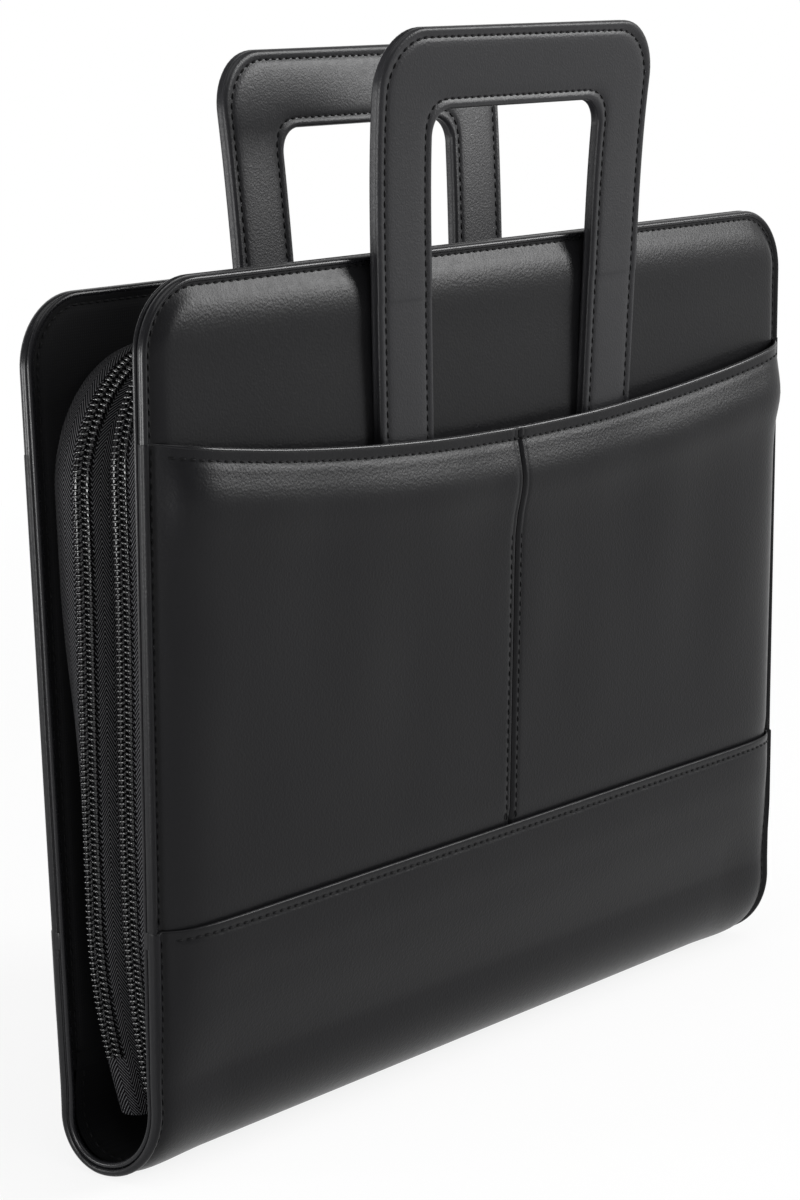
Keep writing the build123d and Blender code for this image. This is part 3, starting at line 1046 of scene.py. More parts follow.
    def wrapped(self, u: Array, turn: Array, on_bead: Array, w: Array, extra: float,
                bead: Any) -> tuple[Array, Array]:
        """Distance in and height of a sheet that goes over the face and round the edge bead.

        Args:
            u: Distances in from the edge, by column.
            turn: Turn round the bead, by column.
            on_bead: Which columns lie on the bead.
            w: Heights above the hinge, by row and column.
            extra: Thickness laid on the bead.
            bead: Half the bead's width, by row.

        Returns:
            Distances in from the edge and heights above the cover's plane.
        """
        d = np.where(on_bead, -(self.cover.bead_reach + extra) * np.cos(turn), u)
        bead_n = (bead + extra) * np.sin(turn) - bead
        near = self.near_edge.at(u)
        face_n = self.height(np.maximum(u, self.cover.stitch_inset), w)
        face_n = (1 - near) * extra + near * face_n
        return np.broadcast_to(d, w.shape), np.where(on_bead, bead_n, face_n)

    def half(self, hand: int) -> None:
        """One half of the pocket sheet.

        Args:
            hand: -1 for the left half, 1 for the right.
        """
        section = self.section
        u, turn, on_bead = self.columns()
        x = hand * (section.half_width - u)
        lip = self.lip(x)
        q = np.r_[np.linspace(0, 0.8, 18), np.linspace(0.83, 0.93, 6), np.linspace(0.94, 1.0, 12)]
        start = self.seam - self.tuck
        w = start + q[:, None] * (lip - start)[None]
        below = lip[None] - w
        free = self.free.at(u)[None]
        d, n = self.wrapped(u, turn, on_bead, w, self.edge_lift, self.cover.skin_bead)
        n = n + free * (self.lip_form(below) + self.slack(x[None], w))
        middle = section.half_width - u
        crease = self.centre_crease.at(middle) + self.centre_groove.at(middle - self.centre_stitch)
        n = n + np.where(on_bead, 0.0, crease)
        n = n - self.tuck_sink * self.tucked.at(w - self.seam) * ~on_bead
        hem = self.hem_fold * self.hem_end.at(below) + self.lip_pinch.at(below - self.lip_stitch)
        sheet = np.where(on_bead, self.edge_sheet, self.sheet + hem * free)
        x = hand * (section.half_width - d)
        fold = [section.cover(x[-1], w[-1] + 0.5 * sheet[-1] * math.sin(angle),
                              n[-1] - sheet[-1] * (1 - math.cos(angle)) / 2)
                for angle in np.radians([25, 50, 90, 130, 155])]
        behind = section.cover(x, w, n - sheet)[::-1]
        shape = Shape().grid(np.concatenate([section.cover(x, w, n), np.array(fold), behind]),
                             ring_rows=True, cap_columns=True)
        side, name = section.side, "pocket_left" if hand < 0 else "pocket_right"
        piece = shape.dress(side.node(name + "_sheet"), LEATHERETTE, self.cover.body,
                            [side.node(name)])
        side.node("upper_skin")

    def under_lip(self, x: Array, below: float) -> tuple[Array, Array]:
        """Line along the sheets at a distance under the lip.

        Args:
            x: Places along the spine.
            below: Distance under the lip.

        Returns:
            Heights above the hinge and distances outward from the cover's plane.
        """
        u, w = self.section.half_width - np.abs(x), self.lip(x) - below
        form = self.lip_form(below) + self.slack(x, w)
        return w, self.height(u, w) + self.free.at(u) * form

    def lip_roll(self) -> None:
        """Rolled top fold of the hem, from side to side."""
        section, end = self.section, self.section.half_width - 1.0
        x = np.linspace(-end, end, 220)
        w, n = self.under_lip(x, 0.0)
        radius = self.roll_radius + self.roll_gain * self.free.at(section.half_width - np.abs(x))
        w = w + self.roll_lift
        n = n + self.centre_crease.at(x) - radius + self.roll_proud
        line = section.cover(x, w, n)
        up = (section.cover(x, w + 1.0, n) - line) * radius[:, None]
        outward = (section.cover(x, w, n + 1.0) - line) * radius[:, None]
        Shape().tube(line, up, outward, circle(1.0, BEAD_SIDES)).dress(
            section.side.node("lip_roll"), TURNED_EDGE, self.cover.body)

    def wrap(self) -> None:
        """Lower panel, which runs on round half of the spine."""
        section, hinge = self.section, self.section.hinge
        # The panel is one piece, so it needs no close columns at the centre.
        keep = self.columns()[0] < section.half_width - 5.0
        u, turn, on_bead = [column[keep] for column in self.columns()]
        s = np.r_[np.linspace(0, hinge, 34, endpoint=False),
                  hinge + np.linspace(0, self.seam - 5, 20),
                  hinge + np.linspace(self.seam - 4.4, self.seam, 12)]
        w = np.maximum(s - hinge, 0.0)[:, None] + 0.0 * u[None]
        bead = self.slim(s, self.cover.spine_skin_bead, self.cover.skin_bead)[:, None]
        d, n = self.wrapped(u, turn, on_bead, w, self.wrap_lift, bead)
        up = self.wrap_rise.at(w)
        low = self.underside_sink * self.underside.at(u)[None] * (1 - up)
        n = n + np.where(on_bead, self.edge_overlap * up, self.overlap * up - low)
        n = n + self.seam_form(self.seam - w) * self.free.at(u)[None]
        rows = [section.place(section.half_width - d, s[:, None], n)]
        for degrees, drop in ((45, 0.0), (90, 0.0), (135, 0.0), (180, 0.0), (180, self.wrap_tuck)):
            angle = math.radians(degrees)
            lift = self.wrap_fold * math.sin(angle) - drop
            lower = n[-1] - self.wrap_fold * (1 - math.cos(angle))
            rows.append(section.place(section.half_width - d[-1], s[-1] + lift, lower)[None])
        right = np.concatenate(rows)
        left = right[:, ::-1] * np.array([-1.0, 1.0, 1.0])
        side = section.side
        piece = Shape().grid(np.concatenate([right, left], 1)).dress(
            side.node("lower_wrap"), LEATHERETTE, None,
            [side.node("lower_panel"), "spine_wrap", "spine_board"])
        self.bend(piece)

    def slim(self, s: Array, low: float, high: float) -> Array:
        """Size that grows from the spine's underside, where there is no board, to the hinge."""
        grow = Ease(self.spine_flat, self.section.hinge - self.spine_flat)
        return low + (high - low) * grow.at(s)

    def bend(self, piece: Piece) -> None:
        """Bake into its mesh the place of a piece sewn to the spine and the cover; nothing bends
        it.

        Args:
            piece: Piece that is sewn to both.
        """
        section = self.section
        low = section.place(0.0, section.hinge - self.hinge_reach, 0.0) * MM
        high = section.place(0.0, section.hinge + self.hinge_reach, 0.0) * MM
        section.side.node("cover")
        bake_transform(piece)

    def spine_lining(self) -> None:
        """Lining of half the spine, with its turned edges and stitches at both ends."""
        section, cover = self.section, self.cover
        side, hinge = section.side, section.hinge
        s = np.r_[np.linspace(0, hinge - 4, 30), hinge + np.array([-2, 0, 2, 4, 6, 8, 11])]
        depth = np.interp(s, [0, 14, hinge, hinge + 8], self.spine_lining_depths)
        end = section.half_width - self.spine_lining_inset
        grid = section.place(np.linspace(-end, end, 40)[None], s[:, None], -depth[:, None])
        sheet = Shape().grid(grid).dress(side.node("spine_lining_half"), LINING, None,
                                         ["spine_lining"])
        edges, stitches = Shape(), Shape()
        along = np.r_[np.linspace(0, hinge, 40, endpoint=False), hinge + np.linspace(0, 5, 6)]
        skin = self.slim(along, cover.spine_skin_bead, cover.skin_bead)
        lining = self.slim(along, cover.spine_lining_bead, cover.lining_bead)
        sunk = self.slim(along, cover.spine_lining_bead_depth, cover.lining_bead_depth)
        oval = circle(1.0, BEAD_SIDES) * [cover.bead_reach - self.bead_play, self.bead_share]
        for hand in (-1, 1):
            across = np.broadcast_to([float(hand), 0.0, 0.0], (len(along), 3))
            for bead, deep in ((lining, sunk), (skin, skin)):
                line = section.place(hand * section.half_width, along, -deep)
                up = section.place(hand * section.half_width, along, 1 - deep) - line
                edges.tube(line, across, up * bead[:, None], oval, ends=False)
            section.sew(stitches, hand * (section.half_width - self.spine_stitch_inset), along,
                        self.spine_stitch_lift - np.interp(along, s, depth), -1.0)
        edge = edges.dress(side.node("spine_lining_edges"), TURNED_EDGE)
        thread = stitches.dress(side.node("spine_lining_stitches"), THREAD)
        for piece in (sheet, edge, thread):
            self.bend(piece)

    def stitching(self) -> None:
        """Stitches along the lip, the centre seam, the lower seam and both sides."""
        section, hinge, body = self.section, self.section.hinge, self.cover.body
        pocket, seam, wrap = Shape(), Shape(), Shape()
        x = np.linspace(-section.half_width + 5.0, section.half_width - 5.0, 200)
        u = section.half_width - np.abs(x)
        side_x = section.half_width - self.cover.stitch_inset
        w, n = self.under_lip(x, self.lip_stitch)
        section.sew(pocket, x, hinge + w, n)
        for hand in (-1, 1):
            w = np.linspace(self.seam + 1.5, self.lip_centre - 1.5, 90)
            n = self.height(np.full(90, section.half_width), w) + self.centre_groove.height
            section.sew(pocket, hand * self.centre_stitch, hinge + w, n)
            w = np.linspace(self.seam + 2.0, self.lip_sides - 1.0, 90)
            section.sew(pocket, hand * side_x, hinge + w, -self.stitch_sink)
            s = np.r_[np.linspace(0, hinge, 60, endpoint=False),
                      hinge + np.linspace(0, self.seam - 2, 40)]
            n = self.overlap * self.wrap_rise.at(s - hinge) - self.stitch_sink
            section.sew(wrap, hand * side_x, s, n)
        w = np.full(200, self.seam - self.seam_stitch)
        sunk = self.free.at(u) * self.seam_form(self.seam_stitch)
        section.sew(seam, x, hinge + w, self.height(u, w) + self.overlap + sunk)
        pocket.dress(section.side.node("pocket_stitches"), THREAD, body)
        seam.dress(section.side.node("seam_stitches"), THREAD, body)
        self.bend(wrap.dress(section.side.node("wrap_stitches"), THREAD))

    def make(self) -> None:
        """Build and dress the pocket, the lower panel and this half of the spine's lining."""
        self.half(-1)
        self.half(1)
        self.lip_roll()
        self.wrap()
        self.spine_lining()
        self.stitching()


# The front skin of a handle: distance in from its edge, and level above its back.
HANDLE_EDGE = np.array([0.0, 0.1, 0.45, 1.0, 1.8, 2.7, 3.1, 3.4, 3.7, 4.2, 5.2, 7.0, 9.5, 12.5])
HANDLE_LEVEL = np.array([2.9, 3.5, 4.0, 4.28, 4.3, 4.05, 3.85, 3.78, 3.86, 4.08, 4.25, 4.34, 4.4,
                         4.42])


@dataclass
class Handle:
    """Flat carrying hoop of two skins sewn together over a core."""

    section: CaseSection
    half: float = 73.5
    leg: float = 27.0
    bar: float = 26.5
    taper: float = 0.042
    taper_ease: float = 40.0
    top: float = 325.0
    foot: float = 139.0
    foot_reach: float = 10.0
    foot_depth: float = 12.0
    outer_radius: float = 20.0
    window_radius: float = 9.0
    depth: float = 4.2
    edge_groove: float = 0.5
    clearance: float = 0.4
    lean: float = math.tan(math.radians(1.0))
    bow_start: float = 245.0
    stitch_inset: float = 3.4
    stitch_level: float = 3.82
    lap: float = 238.0
    lap_step: float = 0.2
    lap_ease: Ease = Ease(-0.4, 0.8)
    tab_height: float = 12.0
    tab_rings: tuple[tuple[float, float], ...] = (
        (1.0, 0.0), (1.0, 2.4), (0.93, 3.0), (0.75, 3.2), (0.3, 3.2))

    @property
    def shift(self) -> float:
        """How far off the middle this handle sits."""
        return self.section.side.pick(0.0, 5.0)

    @property
    def bow(self) -> float:
        """How far the top of this handle bows out."""
        return self.section.side.pick(4.5, 2.2)

    def drawn_in(self, point: Array) -> Array:
        """Draw the legs in toward the feet.

        Args:
            point: Horizontal and vertical pairs on the flat handle.

        Returns:
            Places along the spine.
        """
        x, w = point[..., 0], point[..., 1]
        toward = np.clip(x / self.taper_ease, -1.0, 1.0)
        return x - self.taper * (self.top - w) * toward + self.shift

    def lines(self) -> tuple[Array, Array]:
        """Matching points along the window edge and the outer edge, from foot to foot.

        Returns:
            Points of both edges as horizontal and vertical pairs.
        """
        half, window = self.half, self.half - self.leg
        r, far = self.window_radius, self.outer_radius
        start = self.top - self.bar - r
        leg = np.r_[np.linspace(self.foot, self.lap - 0.7, 40),
                    self.lap + np.array([-0.25, 0.25, 0.7]),
                    np.linspace(self.lap + 2, start, 16, endpoint=False)]
        t = np.linspace(0, 1, 26, endpoint=False)
        turn = t * QUARTER_TURN
        rise, arc = self.top - far - start, far * QUARTER_TURN
        along = t * (rise + arc + half - far - (window - r))
        angle = np.clip((along - rise) / far, 0, QUARTER_TURN)
        over = np.linspace(-window + r, 0, 14)
        inner = np.concatenate([
            spread(-window, leg),
            spread(-window + r * (1 - np.cos(turn)), start + r * np.sin(turn)),
            spread(over, self.top - self.bar)])
        outer = np.concatenate([
            spread(-half, leg),
            spread(-half + far * (1 - np.cos(angle)) + np.clip(along - rise - arc, 0, None),
                   start + np.minimum(along, rise) + far * np.sin(angle)),
            spread(over, self.top)])
        mirror = np.array([-1.0, 1.0])
        return (np.concatenate([inner, inner[-2::-1] * mirror]),
                np.concatenate([outer, outer[-2::-1] * mirror]))

    def surface(self, point: Array, level: Array) -> Array:
        """Place of a point at one level between the back and the front of the handle.

        Args:
            point: Horizontal and vertical pairs on the flat handle.
            level: Distance from the handle's back.

        Returns:
            Points in millimetres, in the shared frame.
        """
        w = point[..., 1]
        lap = np.where(level > self.depth / 2, self.lap_step * self.lap_ease.at(w - self.lap), 0.0)
        bow = np.clip((w - self.bow_start) / (self.top - self.bow_start), 0.0, 1.0) ** 3
        n = self.clearance + level + (w - self.foot) * self.lean + lap + self.bow * bow
        return self.section.cover(self.drawn_in(point), w, n)

    def profile(self) -> tuple[Array, Array]:
        """Outline across the handle.

        Returns:
            Share of the width and level of each point, all the way round.
        """
        share = np.r_[HANDLE_EDGE, self.leg - HANDLE_EDGE[-2::-1]] / self.leg
        front = np.r_[HANDLE_LEVEL, HANDLE_LEVEL[-2::-1]]
        groove, middle = self.edge_groove / self.leg, self.depth / 2
        return (np.r_[share, 1 - groove, share[::-1], groove],
                np.r_[front, middle, self.depth - front[::-1], middle])

    def hoop(self) -> None:
        """Both skins of the hoop with their turned edges, and the feet that catch in the pocket."""
        inner, outer = self.lines()
        share, level = self.profile()
        across = inner[None] + share[:, None, None] * (outer - inner)[None]
        level = np.broadcast_to(level[:, None], across.shape[:2])
        shape = Shape().grid(self.surface(across, level), ring_rows=True, fill_columns=(0, -1))
        # The feet are rounded off at their inner ends.
        tall = self.foot_depth / 2 * np.r_[0.86, 0.96, np.ones(7)][:, None]
        thick = self.depth / 2 * np.r_[0.5, 0.85, np.ones(7)][:, None]
        ring_w, ring_n = squared_circle(12, 0.4)
        for hand in (-1, 1):
            x = hand * (self.half - self.leg + np.linspace(-1, 0.2, 9) * self.foot_reach)
            point = spread(x[:, None], self.foot + self.foot_depth / 2 + tall * ring_w)
            shape.grid(self.surface(point, self.depth / 2 + thick * ring_n), ring_columns=True,
                       fill_rows=(0, -1))
        side = self.section.side
        nodes = [side.node(n) for n in ("handle_inner_skin", "handle_core", "handle_outer_skin")]
        piece = shape.dress(side.node("handle_hoop"), HANDLE_LEATHERETTE, side.node("handle"),
                            nodes, 75.0)

    def stitching(self) -> None:
        """Rows of stitches along both edges, on the front and on the back."""
        inner, outer = self.lines()
        shape, share = Shape(), self.stitch_inset / self.leg
        for part in (share, 1 - share):
            line = inner + part * (outer - inner)
            flat = np.zeros(len(line))
            for level, up in ((self.stitch_level, 1.0), (self.depth - self.stitch_level, -1.0)):
                row = self.surface(line, flat + level)
                STITCH.sew(shape, row, self.surface(line, flat + (level + up)) - row)
        side = self.section.side
        shape.dress(side.node("handle_stitches"), THREAD, side.node("handle"))

    def stops(self) -> None:
        """Two sewn tabs inside the pocket that the feet catch under."""
        shape, side = Shape(), self.section.side
        wide, tall = (self.foot_reach - 2 * self.clearance) / 2, self.tab_height / 2
        middle = self.foot + self.foot_depth + self.clearance + tall
        ring_x, ring_w = squared_circle(16, 0.45)
        narrowed = self.taper * (self.top - self.foot)
        for hand in (-1, 1):
            x = hand * (self.half - self.leg - self.clearance - wide - narrowed) + self.shift
            rings = [self.section.cover(x + scale * wide * ring_x, middle + scale * tall * ring_w,
                                        level) for scale, level in self.tab_rings]
            shape.grid(np.array(rings), ring_columns=True, fill_rows=(-1,))
        shape.dress(side.node("stop_tabs"), LEATHERETTE, side.node("cover"),
                    [side.node("handle_stops")])

    def make(self) -> None:
        """Build and dress the handle and the tabs that stop it."""
        self.hoop()
        self.stitching()
        self.stops()


# One loop of the coil: across the chain, out of it, and along it in pitches.
COIL_LOOP = np.array([[2.75, -0.35, 0.0], [2.95, 0.25, 0.0], [2.5, 0.72, 0.04], [1.6, 0.88, 0.1],
                      [0.7, 0.8, 0.14], [0.1, 0.5, 0.2], [-0.15, 0.0, 0.24], [0.1, -0.35, 0.26]])
# The leaf-side tape: share of the way to the leaf, and how far it has sunk into the case.
TAPE_FALL = np.array([[0.0, 0.25], [0.4, 0.35], [0.5, 0.9], [0.6, 1.9], [0.71, 3.2], [0.81, 4.8],
                      [0.88, 6.6], [0.94, 8.6], [0.98, 10.4], [1.0, 12.0]])


@dataclass
class ZipRun:
    """One zip: two herringbone tapes, a spiral coil chain and its slider."""

    section: CaseSection
    offset: float = 8.5
    inset: float = 6.0
    top: float = 269.5
    radius: float = 45.0
    right_radius: float = 30.0
    left_ends: tuple[float, float] = (26.0, 42.0)
    right_end: float = 64.4
    tape_ends: tuple[float, float] = (14.0, 22.0)
    tape_end_step: float = 10.0
    bend_start: float = 90.0
    bend_length: float = 75.0
    drawn: tuple[float, float] = (2.2, -1.5)
    drawn_low: Ease = Ease(200.0, -100.0)
    tilts: tuple[float, float] = (14.0, 24.0)
    tilt_left: Ease = Ease(-110.0, -40.0)
    chain_half: float = 3.1
    chain_gap: float = 0.05
    tape_bulge: float = 0.9
    tape_sink: float = 0.25
    tape_curve: float = 1.6
    falls: tuple[float, float] = (0.6, 1.8)
    low_falls: tuple[float, float] = (0.0, 6.0)
    fall_low: Ease = Ease(190.0, -90.0)
    lining_depth: float = 5.0
    leaf_end: float = 1.6
    pitch: float = 1.9
    strand: float = 0.4
    strand_stretch: float = 1.1
    strand_sides: int = 6
    loop_lift: float = 0.25
    cord: float = 0.5
    cord_place: float = 1.9
    cord_lift: float = 0.1
    eased_edge: float = 0.25

    @property
    def tuck_in(self) -> tuple[float, float, float]:
        """How far the left end is drawn into the case."""
        return self.section.side.pick((9.0, 0.0, 0.0), (11.0, -5.0, 0.0))

    def drawn_in(self, z: Array) -> Array:
        """How far the lower part of the chain sits toward the leaf."""
        return self.section.side.pick(*self.drawn) * self.drawn_low.at(z)

    def tilt(self, points: Array) -> Array:
        """Angle by which the chain turns to the front at the left end of the case."""
        return math.radians(self.section.side.pick(*self.tilts)) * self.tilt_left.at(points[:, 0])

    def fallen(self, z: Array) -> Array:
        """How far the tape falls into the case where it meets the cover."""
        pick = self.section.side.pick
        return pick(*self.falls) + pick(*self.low_falls) * self.fall_low.at(z)

    def path(self, bottom: float, end: float, step: float) -> tuple[Array, Array, Array]:
        """Path of the chain.

        Args:
            bottom: Height of the left end.
            end: Height of the right end.
            step: Spacing of its points.

        Returns:
            Points, outward directions and lengths along the path.
        """
        drop, side = self.section.drop, self.section.side
        flat, out = arch_path(self.section.half_width - self.inset, bottom - drop, self.top - drop,
                              self.radius, end - drop, step, self.right_radius)
        x, z = flat.T
        points = spread(x, side.sign * (self.offset - self.drawn_in(z) * (x < 0)), z)
        tuck = np.clip((self.bend_start - drop - z) / self.bend_length, 0.0, None) ** 2 * (x < 0)
        points = points + tuck[:, None] * np.array(self.tuck_in)
        return points, spread(out[:, 0], 0.0, out[:, 1]), lengths(points)

    def tapes(self) -> None:
        """Tape to the cover and tape to the centre leaf."""
        section, side = self.section, self.section.side
        end = side.pick(*self.tape_ends)
        points, outward, along = self.path(end, end + self.tape_end_step, 3.0)
        away = np.abs(points[:, 1]) + self.chain_gap
        tilt = side.sign * np.sin(self.tilt(points))[None]

        def tape(across: Array, rise: Array, width: Array) -> Shape:
            """Net of a tape from its places across, its rise and its flat width."""
            net = points[None] + across[..., None] * np.array([0.0, side.sign, 0.0]) \
                + rise[..., None] * outward[None]
            return Shape().grid(net, flat=spread(along[None], width))

        w = np.maximum(points[:, 2] - section.hinge_height, 0.0)
        lining = np.abs(section.cover(0.0, w, -self.lining_depth)[:, 1])
        share = np.linspace(0, 1, 12)[:, None]
        across = self.chain_gap + share * (lining - away)[None]
        rise = self.tape_bulge * np.sin(math.pi * share) - self.tape_sink
        rise = rise - share ** self.tape_curve * self.fallen(points[:, 2])
        rise = rise + tilt * np.minimum(across, self.chain_half)
        piece = tape(across, rise, across).dress(
            side.node("zip_outer_tape"), TAPE, side.node("cover"), [side.node("zip_cover_tape")])
        side.node("inside_lining")
        share, sink = TAPE_FALL[:, :1], TAPE_FALL[:, 1:]
        reach = np.abs(points[:, 1]) - self.chain_gap - self.leaf_end
        across = self.chain_gap + share * reach[None]
        fall = sink + tilt * np.minimum(across, self.chain_half)
        piece = tape(-across, -fall, across + sink).dress(
            side.node("zip_inner_tape"), TAPE, "spine", [side.node("zip_leaf_tape")])

    def turned(self, points: Array, outward: Array) -> tuple[Array, Array]:
        """Directions across the chain and out of it, at each point."""
        angle, level = self.tilt(points)[:, None], np.array([[0.0, 1.0, 0.0]])
        return (np.cos(angle) * level + np.sin(angle) * outward,
                np.cos(angle) * outward - np.sin(angle) * level)

    def coil(self) -> None:
        """Two interlocking rows of spiral loops."""
        side = self.section.side
        loop, slant = COIL_LOOP[:, :2], COIL_LOOP[:, 2:] * self.pitch
        step = np.gradient(loop, axis=0)
        normal = unit(np.stack([-step[:, 1], step[:, 0]], -1))
        ring = circle(self.strand, self.strand_sides)[None]
        form = spread(slant + self.strand_stretch * ring[..., 0],
                      loop[:, :1] + normal[:, :1] * ring[..., 1],
                      loop[:, 1:] + normal[:, 1:] * ring[..., 1]).reshape(-1, 3)
        faces = quads(len(loop), self.strand_sides, ring_columns=True)
        points, outward, along = self.path(side.pick(*self.left_ends), self.right_end, 0.5)
        count = int(along[-1] / self.pitch)
        for part, hand, shift, body in (("cover", 1.0, 0.25, side.node("cover")),
                                        ("leaf", -1.0, 0.75, "spine")):
            way = side.sign * hand
            at = (np.arange(count) + shift) * self.pitch
            origin = sample(at, along, points)
            across, up = self.turned(origin, unit(sample(at, along, outward)))
            axes = np.stack([np.cross(way * across, up) * way, way * across, up], 1)
            shape = Shape()
            shape.scatter(form, faces, origin + self.loop_lift * up, axes)
            across, up = self.turned(points, outward)
            shape.tube(points + (self.cord_place * way) * across + self.cord_lift * up, across, up,
                       circle(self.cord, 6))
            shape.dress(side.node(f"zip_{part}_coil"), COIL, body, [side.node(f"zip_{part}_teeth")])

    def slider(self) -> None:
        """Enamel on the slider and its pull, with their sharp edges eased."""
        for name in ("zip_slider", "zip_pull"):
            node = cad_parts[self.section.side.node(name)]
            paint(node, ENAMEL)
            ease = node.modifiers.new("eased_edges", "BEVEL")
            ease.width = self.eased_edge * MM
            ease.segments = 2
            ease.limit_method = "ANGLE"
            LOG.info("%s: enamelled", node.name)

    def make(self) -> None:
        """Build and dress the zip."""
        self.tapes()
        self.coil()
        self.slider()


@dataclass
class CentreLeaf:
    """Stiff leaf in the middle, with the writing pad in its sleeve and a loop for a pen."""

    half: float = 158.1
    bottom: float = 3.7
    top: float = 261.1
    corner: float = 38.0
    right_corner: float = 24.0
    turn_in: float = 0.35
    face: float = 1.5
    cut: float = 10.0
    cut_top: float = 90.0
    cut_length: float = 75.0
    cut_from: float = 100.0
    cut_run: float = 58.0
    edge_run: float = 0.18
    edge_gap: float = 0.02
    stitch_inset: float = 3.0
    stitch_start: float = 8.0
    stitch_sink: float = 0.2
    seam: Ridge = Ridge(-0.25, 0.9, 3.2)
    pad_length: float = 279.0
    pad_width: float = 216.0
    pad_bottom: float = 20.0
    paper_start: float = 3.55
    paper_depth: float = 6.0
    layers: int = 14
    slip: float = 0.18
    paper_inset: float = 0.2
    sheet_edge: float = 0.05
    sheet_round: float = 0.06
    sleeve_reach: float = 118.0
    sleeve_gap: float = 4.15
    sleeve_sheet: float = 0.8
    sleeve_room: float = 1.1
    sleeve_rise: Ease = Ease(2.2, 2.4)
    sleeve_edge: Ease = Ease(-0.15, 0.6)
    sleeve_stitch: float = 1.6
    sleeve_stitch_level: float = 0.82
    loop_x: float = -60.0
    loop_y: float = -7.8
    loop_z: float = 246.45
    loop_radius: float = 5.6
    loop_length: float = 22.0
    loop_base: float = 4.5

    def cut_back(self, x: Array, z: Array) -> Array:
        """Place along the spine, with the lower left corner cut back behind the zips' ends."""
        cut = self.cut * np.clip((self.cut_top - z) / self.cut_length, 0.0, None) ** 2
        return x + cut * np.clip((-x - self.cut_from) / self.cut_run, 0.0, 1.0)

    def linings(self) -> None:
        """Lining on both faces, turned in round the edge."""
        insets = np.array([0.0, 0.08, 0.2, 0.4, 0.8, 1.8, 3.0, 4.5, 7.0, 12.0, 20.0, 40.0, 80.0,
                           120.0])
        rise = self.face - (self.face - self.edge_gap) * np.exp(-insets / self.edge_run)
        rise = (rise + self.seam.at(insets))[:, None]
        edge, inset = self.turn_in, self.stitch_inset
        x, z = ring_loops(self.half + edge, self.bottom, self.top + edge, self.corner + edge,
                          insets, self.right_corner + edge)
        path, _ = arch_path(self.half - inset, self.bottom + self.stitch_start, self.top - inset,
                            self.corner - inset, right_radius=self.right_corner - inset)
        line = self.cut_back(path[:, 0], path[:, 1])
        for name, sign in (("front", -1.0), ("back", 1.0)):
            grid = spread(self.cut_back(x, z), sign * rise, z)
            piece = Shape().grid(grid, ring_columns=True, fill_rows=(-1,)).dress(
                f"leaf_{name}_cloth", LINING, "spine", [f"leaf_{name}_lining", "leaf_board"])
            row = spread(line, sign * (self.face - self.stitch_sink), path[:, 1])
            thread = Shape()
            STITCH.sew(thread, row, np.broadcast_to([0.0, sign, 0.0], row.shape))
            thread.dress(f"leaf_{name}_stitches", THREAD, "spine")

    def pad(self) -> None:
        """Backing board, a block of sheets that lie a little unevenly, and their binding."""
        chance = np.random.default_rng(7)
        shape = Shape()
        half, low, high = self.pad_length / 2, self.pad_bottom, self.pad_bottom + self.pad_width
        inward = np.array([[0.0, 1.0], [-1.0, 1.0], [-1.0, -1.0], [0.0, -1.0]]) * self.sheet_edge
        for i in range(self.layers):
            near = -self.paper_start - self.paper_depth * i / self.layers
            far = -self.paper_start - self.paper_depth * (i + 1) / self.layers
            slip = chance.uniform(-self.slip, self.slip, 3) if i else np.zeros(3)
            end = half + slip[0] - self.paper_inset
            z0, z1 = low + self.paper_inset + slip[1], high - self.paper_inset + slip[2]
            rim = np.array([[-half, z0], [end, z0], [end, z1], [-half, z1]])
            rings = [spread(ring[:, 0], y, ring[:, 1])
                     for ring, y in ((rim + inward, near), (rim, near - self.sheet_round),
                                     (rim, far + self.sheet_round), (rim + inward, far))]
            shape.grid(np.array(rings), ring_columns=True, fill_rows=(-1, 0))
        shape.dress("pad_sheets", PAPER, "spine", ["pad_paper"], 30.0)
        paint(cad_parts["pad_backing"], GREYBOARD)
        face = -self.paper_start - self.paper_depth
        # Outline of the binding, from the top sheet round the end of the pad to its back.
        line = np.array([
            (15.5, face - 0.05), (15.3, face - 0.42), (1.0, face - 0.5), (-0.3, face - 0.3),
            (-0.5, face + 0.6), (-0.5, -2.2), (-0.35, -1.75), (0.0, -1.66), (0.0, -2.0),
            (0.0, face + 0.1), (0.4, face), (15.2, face)])
        grid = spread(line[:, :1] - half, line[:, 1:], np.linspace(low, high, 30)[None])
        Shape().grid(grid, ring_rows=True, fill_columns=(0, -1)).dress(
            "pad_binding_strip", BINDING, "spine", ["pad_binding"], 40.0)

